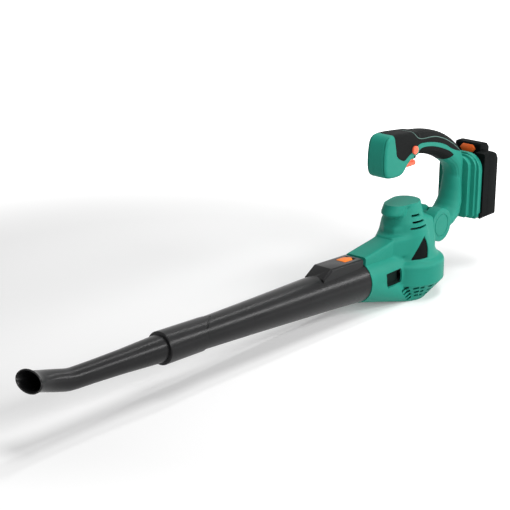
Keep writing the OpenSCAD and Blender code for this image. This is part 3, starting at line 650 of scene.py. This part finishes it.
def vent_bars():
    """Cutters for the vents in both flanks of the tower."""
    return mirrored(joined(*[slot_bar(start, end, vent_height, -50, -14) for start, end in vent_rows]))


def skirt_bars():
    """Cutters for the foot's slanted slots, in columns that turn level towards the rear."""
    bars = []
    for angle, length, lean, pitch, rows in slot_columns:
        for row in range(rows):
            z = slot_top - row * pitch
            share = z / skirt_top
            radius = base_radius + (drum_radius - base_radius) * share
            place = shift(base_x * (1 - share), 0, z) @ turn(angle + row * slot_shift, "Z")
            half = length / 2 * (1 - slot_shorter * row)
            bars.append(block((-9, -half, -slot_half), (9, half, slot_half), 0.9,
                              place @ shift(radius, 0, 0) @ turn(lean, "X"), 2))
    return mirrored(joined(*bars))


def base_slots():
    """Cutters for the slots in the underside, through which the fan draws its air."""
    centre = shift(base_x + 4, 0, 0)
    return joined(*[block((intake_inner, -1.5, -1), (intake_outer, 1.5, shell + 1), 0.5,
                          centre @ turn(360 / intake_count * k, "Z"), 2) for k in range(intake_count)])


def vane_block(grow):
    """Blocks with the vane's outline in both flanks, whose two curved sides meet in points."""
    line = curve(vane_line[:4], 4) + curve(vane_line[4:] + vane_line[:1], 4)
    return mirrored(prism(inset(line, -grow), -60, -8))


def slab(low, high, place=Matrix()):
    """A wide flat tool between two heights."""
    return block((-FAR, -FAR, low), (FAR, FAR, high), 0, place)


def hinge_bar(radius, low, high, edge=0.0):
    """A round bar on the hinge's axis."""
    return rod(hinge.x, hinge.z, radius, low, high, edge)


def room():
    """Inside of the motor tower and its cap, clear of the knuckle's seat by a wall."""
    inside = body_of(spun(tower_profile(shell, 1, 60), TOWER))
    add(inside, upright([*cap_rings[:2], (-3.5, cap_top - shell, 21.3)], cap_wall))
    return cut(inside, hinge_bar(seat_radius + cap_wall, -60, 60))


def tongue():
    """Tongue of the housing between the cheeks of the knuckle."""
    half = tongue_half - 0.01
    root = block((hinge.x - 25, -half, hinge.z - 11), (hinge.x, half, hinge.z + 11))
    return add(body_of(hinge_bar(tongue_radius, -tongue_half, tongue_half, 0.6)), root)


def pocket_cutter():
    """Window in each flank of the duct, behind which the drum's wall shows."""
    body = body_of(mirrored(block((-84, -45, 33), (-49, -21, 53), 1, segments=2)))
    return cut(body, cylinder(drum_radius, 0, 80))


def vane_recess():
    """Shallow recess for the vane in each flank of the tower."""
    return cut(body_of(vane_block(0.15)), spun(tower_profile(vane_depth), TOWER))


def vane():
    """Both dark vanes, each a plate that follows the tower."""
    body = keep(body_of(vane_block(-0.1)), spun(tower_profile(vane_face), TOWER))
    return cut(body, spun(tower_profile(vane_depth - 0.05), TOWER))


def screw_wells():
    """Counterbores of the housing's screws, on the far flank."""
    return joined(*[rod(x, z, 3.4, seat, 60) for x, z, seat in screw_places])


def housing():
    """Drum, duct, tower and cap as one moulded skin with the shoe under the duct, hollowed and vented."""
    skin = melted(1.25, 15, drum(), spun(tower_profile(), TOWER), duct(), ear(), upright(cap_rings),
                  upright(nose_rings), crown(), shoe(), fillet(), shoulder())
    add(skin, platform())
    cut(skin, slab(cap_top, 180))
    cut(skin, cylinder(90, seam, seam + 60, TUBE))
    cut(skin, cylinder(drum_radius - shell, -20, rim - 5.6))
    cut(skin, cylinder(duct_radius - shell, 8, seam + 9, TUBE))
    return cut(skin, room(), vent_bars())


def body_shell(skin):
    """Two-part shell: the skin above the foot and below the cap, with the hinge's seat and tongue."""
    cut(skin, slab(cap_foot, 200, TOWER))
    cut(skin, cut(body_of(slab(-20, skirt_top)), cylinder(duct_radius + 0.05, 0, seam + 20, TUBE)))
    cut(skin, hinge_bar(seat_radius, -60, 60))
    add(skin, tongue())
    cut(skin, hinge_bar(bolt_bore, -30, 30))
    return cut(skin, pocket_cutter(), vane_recess())


def cap(skin):
    """Cap of the tower with its flat top and the nose over the front."""
    return keep(skin, slab(cap_foot, 200, TOWER))


def foot_room():
    """Inside of the foot, over its base."""
    low, high = base_radius - 2.2, drum_radius - shell
    return loft([(shift(base_x, 0, shell), low, low),
                 (shift(0, 0, skirt_top + 1), high, high)], sides=112)


def intake_cover():
    """Foot: sloping skirt and shoe with slanted slots over a slotted base."""
    body = add(body_of(skirt()), shoe())
    cut(body, slab(skirt_top, 200), foot_room(), cylinder(duct_radius + 0.1, -10, seam + 20, TUBE))
    return cut(body, skirt_bars(), base_slots())


def pocket_liner():
    """Blind bottom of the flank's window, coloured dark green as painted shade."""
    body = body_of(mirrored(block((-83.8, -30, 33.2), (-49.5, -20.5, 52.8), 0.6, segments=2)))
    cut(body, mirrored(block((-82.4, -45, 34.4), (-48, -22, 51.6), 0.6, segments=2)))
    keep(body, cylinder(duct_radius - 0.5, 0, seam, TUBE))
    return cut(body, cylinder(drum_radius - 0.2, 0, 80))


skin = housing()
piece(cap(copied(skin)), "motor_cap", green_plastic, "housing", ["tower_cap"])
left, right = halved(body_shell(skin))
cut(right, screw_wells())
piece(left, "housing_shell_left", green_plastic, "housing", ["housing_left"])
piece(right, "housing_shell_right", green_plastic, "housing", ["housing_right"])
piece(intake_cover(), "intake_skirt", green_plastic, "housing", ["intake_cover"])
pair(vane(), "vane", vane_plastic, "housing", "dark_insert", "vane_insert")
# The pocket liner's dark green is painted shade
pair(pocket_liner(), "pocket", pocket_painted_shade, "housing", "dark_insert", "side_pocket")


# ---- tubes ----

# Rear tube from the seam to its spigot as [radius, station], then its bore back to the plug in the duct
tube_line = [(29, 117.3), (26.4, 180), (24.3, 245), (21.4, 335), (18.8, 431)]
spigot_radius = 17.45
spigot_foot = 431
spigot_end = 487
tube_bore = [(16.2, spigot_end), (15.4, spigot_end), (15.4, spigot_foot), (16.8, 425), (25.3, seam),
             (25.3, 99), (27.3, 99), (27.3, seam), (28.6, seam)]
# Latch block on the rear tube from the side, as [height over the tube's axis, station]
block_line = [(18, 122), (35.3, 122), (35.3, 189), (24, 206), (18, 206)]
block_half = 16
latch_floor = 28.4  # height over the tube's axis of the pocket's floor
latch_foot = 31.3  # height over the tube's axis of the latch's underside
latch_height = 4.6
latch_half = 7.5
# Nozzle: front edge of its collar, and the point and the ends of the collar's pointed rear edge
collar_front = 494
collar_half = 20.5
chevron_apex = 408
chevron_flank = 430
chevron_edge = [(60, chevron_flank), (16, chevron_flank), (0, chevron_apex), (-16, chevron_flank),
                (-60, chevron_flank)]
# Nozzle's tip: station and radius of its bend, and its climb in degrees
bend_station = 636
bend_radius = 60
tip_tilt = 16.4
# Tip's outside and bore, as (distance along the tip, half height, half width)
flare_rings = [(0, 12.7, 12.7), (7, 12.7, 12.7), (14, 12.7, 12.8), (26, 12.6, 13.2), (38, 12.2, 14.2),
               (47, 11.6, 15.8), (55, 11.2, 17.9), (60.6, 11.6, 19.7), (63, 12.6, 20.7), (64.4, 13.1, 21),
               (65.2, 12.6, 20.6), (65.0, 11.6, 19.6), (63.4, 10.4, 18.6)]
mouth_rings = [(55, 9.2, 15.9), (38, 10.2, 12.2), (14, 10.7, 10.8)]
# For a prism whose outline is seen from above the tube, as [side, station]
PLAN = TUBE @ turn(90, "Z")


def latch_block():
    """Block on the rear tube that holds the latch, with chamfered shoulders."""
    bm = prism(block_line, -block_half, block_half)
    softened(bm, 2.2, 1, lambda edge: beyond(edge, X, 23.9) and span(edge, Y) < 1 and span(edge, Z) > 1)
    softened(bm, 0.4, 2, lambda edge: beyond(edge, X, 22))
    bm.transform(TUBE)
    return cut(body_of(bm), spun([(0, 90), (27, 90), (23, 250), (0, 250)], TUBE))


def chevron_line():
    """Fine line in the rear tube's skin along the collar's pointed edge."""
    back = [(side, station - 1.5) for side, station in chevron_edge]
    line = body_of(prism(chevron_edge + back[::-1], -60, 2, PLAN))
    return cut(line, spun([(0, 380), (18.9, 380), (18.2, 440), (0, 440)], TUBE))


def rear_tube():
    """Tapered tube with a spigot for the nozzle, a plug for the duct and the latch block on top."""
    spigot = [(spigot_radius, spigot_foot + 0.6), (spigot_radius, spigot_end - 0.6)]
    body = body_of(spun([*[tuple(point) for point in curve(tube_line, 6)], *spigot, *tube_bore], TUBE, 128))
    add(body, latch_block())
    cut(body, chevron_line())
    return cut(body, prism([(latch_floor, 127.6), (latch_floor, 152.4), (60, 152.4), (60, 127.6)],
                           -7.9, 7.9, TUBE))


def latch_button():
    """Arrow-shaped latch whose point is at the rear, with room for its spring."""
    flank = [(2.6, 130.5), (6.6, 134), (latch_half - 0.1, 137), (latch_half, 150.8), (latch_half - 1, 151.9)]
    outline = [(0, 127.9), *flank, *[(-side, station) for side, station in flank[::-1]]]
    bm = prism(outline, 0, latch_height)
    softened(bm, 0.7, 2, lambda edge: beyond(edge, Y, latch_height - 0.6))
    bm.transform(TUBE @ shift(latch_foot, 0, 0) @ turn(90, "Z") @ Matrix.Diagonal((1, -1, 1, 1)))
    outward(bm)
    low, high = (Vector(corner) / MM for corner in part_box("latch_spring"))
    return cut(body_of(bm), block(low - Vector((1, 1, 3)), high + Vector((1, 1, 2.4))))


def ring(station, radius):
    """A round ring on the tube's axis."""
    return TUBE @ shift(0, 0, station), radius, radius


def tip_place(distance):
    """Place of a ring past the start of the bend in the nozzle's tip."""
    bend = math.radians(tip_tilt - tube_slope)
    tilt = max(0.0, min(bend, distance / bend_radius))
    rest = distance - bend_radius * tilt
    up = bend_radius * (1 - math.cos(tilt)) + rest * math.sin(tilt)
    along = bend_radius * math.sin(tilt) + rest * math.cos(tilt)
    start = bend_station - bend_radius * math.tan(bend / 2)
    return TUBE @ shift(up, 0, start + along) @ Matrix.Rotation(tilt, 4, "Y")


def tip(rings):
    """Oval rings along the nozzle's tip."""
    return [(tip_place(distance), high, wide) for distance, high, wide in rings]


def nozzle():
    """Front tube: collar, step, slim nozzle and its bent tip with a flared oval mouth."""
    outside = [ring(405, 20.0), ring(collar_front - 1.2, collar_half), ring(collar_front, collar_half - 0.8),
               ring(collar_front + 0.6, 16.9), ring(525, 15.6), ring(557, 14.1), ring(600, 13.0)]
    inside = [ring(600, 11), ring(488.5, 14.6), ring(488, 17.62), ring(433.4, 17.62), ring(433, 19.3),
              ring(405, 19.5)]
    body = body_of(loft([*outside, *tip(flare_rings), *tip(mouth_rings), *inside], closed=True))
    cut(body, prism([(60, 380), *chevron_edge, (-60, 380)], -60, 0, PLAN))
    return cut(body, block((-60, -60, 380), (0.01, 60, chevron_flank), place=TUBE))


piece(rear_tube(), "blower_tube", tube_plastic, "tube", ["rear_tube"])
piece(latch_button(), "latch_arrow", latch_orange, "latch", ["latch_button"])
piece(nozzle(), "nozzle", tube_plastic, "nozzle", ["nozzle_tube"])


# ---- handle ----

# Outline of the handle from the side, as [x, z] from the hinge, and half its width
grip_points = [(-86, 88.4), (-108, 88), (-122, 92.4), (-127, 106.4), (-126, 131.4), (-120, 144.4),
               (-104, 147.7), (-65, 144.4), (-20, 139), (12, 130.4), (40, 116.4), (61, 99.4), (71, 81.4),
               (72, 57.4), (72, 19.4), (68, -2.6), (45, -16.6), (20, -20.6), (8, -0.6), (14, 17.4), (28, 13),
               (43, 17.4), (53, 31.4), (54, 51.4), (49, 69.4), (35, 81.4), (12, 93.4), (-12, 102),
               (-36, 107.4), (-58, 108.4), (-72, 100.4)]
grip_half = 16
head_back_x = 2  # x from the origin at which the head's tighter edges give way to the leg's
# Arm from the knuckle up into the leg, as rings of [x, z, half depth, half width] from the hinge
arm_line = [(4, -2, 14, 22.4), (22, -4, 12.5, 22.4), (38, -1.5, 13, 22), (50, 7, 14, 21),
            (57.5, 20, 13.5, 19), (60.5, 36, 11.6, 16.8), (60.5, 54, 9.6, 14.8), (60.5, 66, 6, 10)]
# Steps of the battery's mount: x from and to, half width, foot, top and corner radius
mount_steps = [(67, 75, 23.5, -6, 83.4, 15), (74.5, 80, 30, -7.4, 85.4, 18), (79, 87, 34, -8.6, 87.4, 24)]
# Foot and top of the battery's rail
rail_low = 6.4
rail_high = 75.4
# Knuckle's cheek as [radius, distance from the middle], with a shallow ring in its face
cheek_line = [(0, cheek_gap), (23.6, cheek_gap), (23.6, 25.3), (23, 25.9), (16.6, 25.9), (16.3, 25.2),
              (15.3, 25.2), (15, 25.9), (0, 25.9)]
rubber_gap = 0.25  # fine gap between the rubber and the shell round it
# Lock-off button
lock_x = hinge.x - 59.5
lock_z = hinge.z + 118.9
lock_radius = 5.8
# Trigger's blade and the guard round its stem
blade_low = 184.4
blade_high = 191.1
guard_low = 194.2


def sliced(bm, point, outwards):
    """A solid without what lies past a plane."""
    made = bmesh.ops.bisect_plane(bm, geom=bm.verts[:] + bm.edges[:] + bm.faces[:], plane_co=point,
                                  plane_no=outwards, clear_outer=True)
    rim = [part for part in made["geom_cut"] if isinstance(part, bmesh.types.BMEdge)]
    bmesh.ops.holes_fill(bm, edges=rim, sides=0)
    return outward(bm)


def grip(less, edge):
    """Slabs of the handle's curved body, stepped in towards its sides so that melting rounds them."""
    line = curve(grip_points, 5, closed=True)
    slabs = []
    for a in angles(0, 81, 20):
        depth = less + edge * (1 - math.cos(a))
        width = grip_half - less - edge * (1 - math.sin(a))
        slabs.append(prism(inset(line, depth), -width, width, HINGE))
    return slabs


def grip_head():
    """Front of the grip, whose edges are tighter than the leg's."""
    return [sliced(layer, (head_back_x, 0, 0), (1, 0, 0)) for layer in grip(0, 4.5)]


def arm():
    """Arm that sweeps from the wide knuckle up into the slimmer leg."""
    rings = []
    for k, (x, z, depth, half) in enumerate(arm_line):
        before, after = arm_line[max(k - 1, 0)], arm_line[min(k + 1, len(arm_line) - 1)]
        lean = math.atan2(after[0] - before[0], after[1] - before[1])
        rings.append((HINGE @ shift(x, 0, z) @ Matrix.Rotation(lean, 4, "Y"), depth, half))
    return joined(loft(rings), block((4, -22.4, -14), (20, 22.4, 9), 0, HINGE))


def head_groove():
    """Cutters for the fine groove down both edges of the head's front face."""
    line = curve(grip_points, 5, closed=True)
    band = body_of(prism(inset(line, -3), 11.9, 13.1, HINGE))
    cut(band, prism(inset(line, 2.0), 11, 14, HINGE))
    keep(band, block((-120, 5, 150), (-66, 20, 260)))
    other = copied(band)
    other.data.transform(Matrix.Diagonal((1, -1, 1, 1)))
    other.data.flip_normals()
    return band, other


def plate(low_x, high_x, half, low, high, corner):
    """One step of the battery's mount, with rounded top corners and an eased rim."""
    line = [(-half + 4, low), (-half, low + 4)]
    for side in (-1, 1):
        arc = [(side * (half - corner + corner * math.cos(a)), high - corner + corner * math.sin(a))
               for a in angles(0, 91, 15)]
        line += arc if side < 0 else arc[::-1]
    line += [(half, low + 4), (half - 4, low)]
    bm = prism(line, low_x, high_x, HINGE @ REARWARD)
    return softened(bm, 1.0, 2, lambda edge: span(edge, X) < 0.01)


def mount():
    """Stepped plate on the leg, with the T-shaped rail of the battery."""
    first, *others = [plate(*step) for step in mount_steps]
    body = add(body_of(first), *others, block((86, -14, rail_low), (92, 14, rail_high), 0, HINGE))
    return add(body, block((91.2, -20, rail_low + 0.01), (94.8, 20, rail_high - 0.01), 0.4, HINGE, 2))


def knuckle():
    """Cheek discs of the hinge with a shallow ring on each face."""
    disc = spun(cheek_line, SIDEWAYS)
    disc.transform(HINGE)
    return mirrored(disc)


def cover_region(grow=0.0):
    """Rubber over the back of the grip, seen from the side."""
    edge = curve([(-59.5, 246), (-57, 234), (-53, 218), (-50.6, 208.5), (-42, 202), (-32.6, 199),
                  (-24.5, 203), (-15, 207), (-8, 211.5), (-2, 214), (8.5, 216), (37, 212), (64, 204),
                  (85, 193), (109, 185)], 4)
    over = [(116, 181), (116, 190), (108, 200), (95, 225), (60, 250), (0, 260), (-59, 260)]
    line = edge + [Vector(point) for point in over]
    return prism(inset(line[::-1], -grow), -60, 60)


def pad_region(grow=0.0):
    """Rubber along the grip's underside, seen from the side."""
    upper = curve([(1, 204), (9, 209), (31, 207), (53, 201), (76, 192), (88.5, 184)], 4)
    lower = curve([(88.5, 184), (77, 179), (64, 177.4), (56, 172)], 4)
    line = upper + lower[1:] + [Vector(point) for point in ((30, 180), (0, 190), (0, 200))]
    return prism(inset(line, -grow), -60, 60)


def accent_region():
    """Thin line along the rubber, seen from the side."""
    line = curve([(-19, 246), (-17, 240), (-8, 229), (5, 222), (38, 219), (63, 211.5), (86, 200),
                  (112, 183)], 5)
    return prism(line + [point + Vector((0.35, 1.0)) for point in line][::-1], -60, 60)


def guard():
    """Guard round the trigger's stem."""
    return block((-15, -9, guard_low), (5, 9, 206), 1.4)


def lock_bore():
    """Bores in both flanks for the lock-off button."""
    radius = lock_radius + 0.4
    return joined(rod(lock_x, lock_z, radius, 9, 40), rod(lock_x, lock_z, radius, -40, -9))


def handle():
    """Handle's whole body: grip, leg, arm, mount and knuckle, hollowed and bored."""
    whole = melted(1.1, 8, *grip(0, 10.5), *grip_head(), arm())
    add(whole, mount())
    cut(whole, hinge_bar(22, -cheek_gap, cheek_gap), melted(1.6, 3, *grip(shell, 7.5)))
    add(whole, knuckle(), guard())
    cut(whole, hinge_bar(tongue_radius + 0.8, -cheek_gap, cheek_gap))
    cut(whole, hinge_bar(bolt_bore, -22, 30), hinge_bar(bolt_head, 22, 40))
    cut(whole, block((-15.5, -7.4, 183), (5.5, 7.4, 218)), lock_bore())
    cut(whole, block((81, -10.2, 21.8), (95, 10.2, 48.2), 0, HINGE))
    return cut(whole, *head_groove())


handle_body = handle()
cover = keep(copied(handle_body), cover_region())
pad = keep(copied(handle_body), pad_region())
cut(handle_body, cover_region(rubber_gap), pad_region(rubber_gap))
accent = keep(copied(cover), accent_region())
cut(cover, accent_region())
pair(handle_body, "handle_shell", green_plastic, "handle", "green_shell", "handle")
piece(cover, "grip_cover_rubber", rubber, "handle", ["grip_cover"])
piece(pad, "grip_pad_rubber", rubber, "handle", ["grip_pad"])
piece(accent, "grip_accent", accent_plastic, "handle")


def trigger():
    """Trigger blade with its stem in the guard's slot, and room for its spring."""
    body = body_of(block((-19, -8.6, blade_low), (6, 8.6, blade_high), 2.2, segments=4))
    add(body, block((-12, -6.6, 187), (3, 6.6, 201.5), 1))
    low, high = (Vector(corner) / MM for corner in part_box("trigger_spring"))
    return cut(body, block(low - Vector((4, 1, 4)), high + Vector((4, 1, 4))))


def lock():
    """Lock-off button: a cap on each side of a cross bar."""
    body = body_of(rod(lock_x, lock_z, lock_radius, -18.6, -14.6, 0.9))
    return add(body, rod(lock_x, lock_z, lock_radius, 14.6, 18.6, 0.9), rod(lock_x, lock_z, 3.4, -17, 17))


piece(trigger(), "trigger_lever", trigger_orange, "trigger", ["trigger"])
piece(lock(), "lock_off_button", trigger_orange, "lock_button", ["lock_button"])


# ---- battery pack ----

# Case, as x and z from the hinge
pack_front = 87.3
pack_back = 125
pack_low = -8.6
pack_top = 87.4
pack_half = 37
pack_split = 101.3
pack_wall = 2.4
# Raised head on the case
head_front = 99.5
head_back = 124.4
head_half = 21
head_top = 97.4
# Height of the release key's middle, half its width, half its height and the length of its points
key_height = 89
key_half = 13
key_tall = 5.6
key_point = 4.5


def pack_body(less=0.0):
    """Main block of the pack, with a rounded back."""
    half = pack_half - less
    line = [(pack_front + less, pack_low + less), (pack_back - less, pack_low + less),
            (pack_back - less, pack_top - 12), (pack_back - 4.4 - less * 0.8, pack_top - 4 - less * 0.4),
            (pack_back - 14 - less * 0.4, pack_top - less), (pack_front + less, pack_top - less)]
    bm = prism(line, -half, half, HINGE)
    if not less:
        softened(bm, 2.8, 4, lambda edge: reaches(edge, X, hinge.x + pack_front + 1))
    return bm


def pack_head(less=0.0):
    """Raised head at the pack's rear, which holds the release key."""
    low, high = pack_top - 12 + less, head_top - less
    front, back = head_front + less, head_back - less
    line = [(front, low), (back, low), (back, high - 7), (back - 6, high - 1), (back - 12, high),
            (front + 2, high), (front, high - 2)]
    bm = prism(line, less - head_half, head_half - less, HINGE)
    if not less:
        softened(bm, 3.2, 4, lambda edge: reaches(edge, X, hinge.x + head_front + 2.1))
    return bm


def pack_lugs():
    """Small lugs at the pack's front foot, one on each flank."""
    return mirrored(block((132.6, -36.8, 82.4), (141, -34.4, 91), 1, segments=2))


def well(grow=0.0):
    """Room for a finger in front of the key."""
    return block((pack_front - 1, -head_half - grow, pack_top - 5 - grow),
                 (head_front + grow, head_half + grow, 110), 0, HINGE)


def channel(grow=0.0):
    """T-shaped slot of the pack that slides over the mount's rail."""
    low, high = pack_low - 5, rail_high + 0.4 + grow
    neck = block((80, -14.4 - grow, low), (91.8, 14.4 + grow, high), 0, HINGE)
    wings = block((90.8 - grow, -20.4 - grow, low - 0.01), (95.2 + grow, 20.4 + grow, high + 0.01), 0, HINGE)
    return add(body_of(neck), wings)


def hexagon(grow, low, high):
    """Six-sided key with its flats above and below."""
    half, tall, flat = key_half + grow, key_tall + grow, key_half + grow - key_point
    line = [(-half, 0), (-flat, -tall), (flat, -tall), (half, 0), (flat, tall), (-flat, tall)]
    return prism(line, low, high, HINGE @ shift(0, 0, key_height) @ REARWARD)


def pack():
    """Both shells of the pack, hollowed, with the well and the key's window."""
    body = add(body_of(pack_body()), pack_head(), pack_lugs())
    inside = add(body_of(pack_body(pack_wall)), pack_head(pack_wall))
    cut(inside, channel(2), well(pack_wall))
    cut(body, inside)
    return cut(body, channel(), well(), hexagon(0.4, head_front - 1, head_front + pack_wall + 2))


front_shell = pack()
rear_shell = keep(copied(front_shell), block((pack_split, -60, -30), (200, 60, 200), 0, HINGE))
keep(front_shell, block((60, -60, -30), (pack_split - 0.3, 60, 200), 0, HINGE))
piece(front_shell, "pack_shell_front", pack_plastic, "battery", ["battery_front"])
piece(rear_shell, "pack_shell_rear", pack_plastic, "battery", ["battery_rear"])
piece(softened(hexagon(0, head_front - 1.2, head_front + 1.6), 0.7, 2), "release_key_face", release_orange,
      "release_key", ["release_key"])


# ---- inside parts that keep their CAD shape ----

for node in ("motor_can", "motor_screws", "housing_screws", "rotor", "fan_nut", "latch_spring", "hinge_bolt",
             "handle_screws", "trigger_spring"):
    dressed(node, steel)
for node in ("motor_mount", "motor_end_bell", "fan_impeller", "switch_body", "terminal_block"):
    dressed(node, inner_plastic)
dressed("motor_magnets", magnet)
dressed("battery_cells", cell_wrap)
for node in ("control_board", "battery_board"):
    dressed(node, board_green)


# ---- floor, light and camera, in metres ----

floor_size = 6
floor_white = 0.19  # white added to the floor near the blower, which leaves room for its shadow
# Point of the floor round which the shadow is kept, and the distances at which it begins and ends to fade out
shade_middle = (-0.25, 0.15)
shade_near = 0.42
shade_far = 1.0
ambient = 0.18
focal_length = 103.5  # in millimetres
camera_place = (-1.6181, -1.1088, 0.7102)
camera_target = (-0.3235, 0, 0.135)
camera_roll = 0.26  # in degrees
# Middle of the tubes' mirror image, at which the two strips of light aim
strip_target = (0.98, 0, 0.07)


def grey(level):
    """A colour without a hue."""
    return level, level, level, 1


def seen(finish):
    """How far a ray is one that shows the plain background: from the camera, a mirror or through glass."""
    rays = [finish.node("ShaderNodeLightPath", {}, {}, kind) for kind in
            ("Is Camera Ray", "Is Glossy Ray", "Is Transmission Ray")]
    return rays[0] + rays[1] + rays[2]


def floor():
    """Pale floor that keeps the shadow: a matte sheet with some white added where it is seen."""
    bm = bmesh.new()
    bmesh.ops.create_grid(bm, x_segments=1, y_segments=1, size=floor_size)
    made = body_of(bm)
    made.name = "floor"
    finish = Finish("studio_floor", Roughness=1.0, Specular_IOR_Level=0.0, Emission_Strength=1.0)
    finish.coloured(finish.mixed(finish.noise(400), grey(0.78), grey(0.8)))
    middle = {"Vector": finish.place, "Location": (-shade_middle[0], -shade_middle[1], 0)}
    centred = finish.node("ShaderNodeMapping", {}, middle)
    distance = finish.node("ShaderNodeVectorMath", {"operation": "LENGTH"}, {0: centred}, "Value")
    white = finish.mixed(finish.step(distance, shade_near, shade_far), grey(floor_white), grey(1))
    finish.feed(finish.shader.inputs["Emission Color"], finish.mixed(seen(finish), grey(0), white))
    made.data.materials.append(finish.material)


class Surround(Finish):
    """The world's light, built from nodes as a finish is."""

    def __init__(self, name):
        self.material = bpy.data.worlds.new(name)
        self.material.use_nodes = True
        self.tree = self.material.node_tree
        self.shader = self.tree.nodes["Background"]


def world():
    """Even pale light all round, and a plain white where it is seen."""
    sky = Surround("studio")
    sky.feed(sky.shader.inputs["Color"], sky.mixed(seen(sky), grey(ambient), grey(1)))
    bpy.context.scene.world = sky.material


def lamp(name, place, target, size, power):
    """A soft rectangular lamp."""
    light = bpy.data.lights.new(name, "AREA")
    light.shape = "RECTANGLE"
    light.size, light.size_y = size
    light.energy = power
    made = placed(name, light)
    made.location = place
    made.rotation_euler = (Vector(target) - Vector(place)).to_track_quat("-Z", "Y").to_euler()


def camera():
    """Camera before the nozzle, on the near side and above."""
    lens = bpy.data.cameras.new("camera")
    lens.lens = focal_length
    lens.sensor_width = 36
    lens.clip_start, lens.clip_end = 0.05, 50
    made = placed("camera", lens)
    aim = (Vector(camera_target) - Vector(camera_place)).to_track_quat("-Z", "Y").to_matrix().to_4x4()
    made.matrix_world = shift(*camera_place) @ aim @ turn(camera_roll, "Z")
    bpy.context.scene.camera = made


floor()
world()
lamp("key", (-1.1, -1.9, 1.15), (-0.15, 0, 0.1), (0.9, 0.7), 21)
lamp("top", (-0.3, -0.6, 2.1), (-0.2, 0, 0), (0.9, 0.7), 18)
lamp("side_strip", (0.98, -0.99, 0.75), strip_target, (2.0, 0.16), 16)
lamp("high_strip", (0.98, 0.05, 1.3), strip_target, (2.0, 0.1), 8)
camera()
bpy.context.scene.view_settings.view_transform = "Standard"
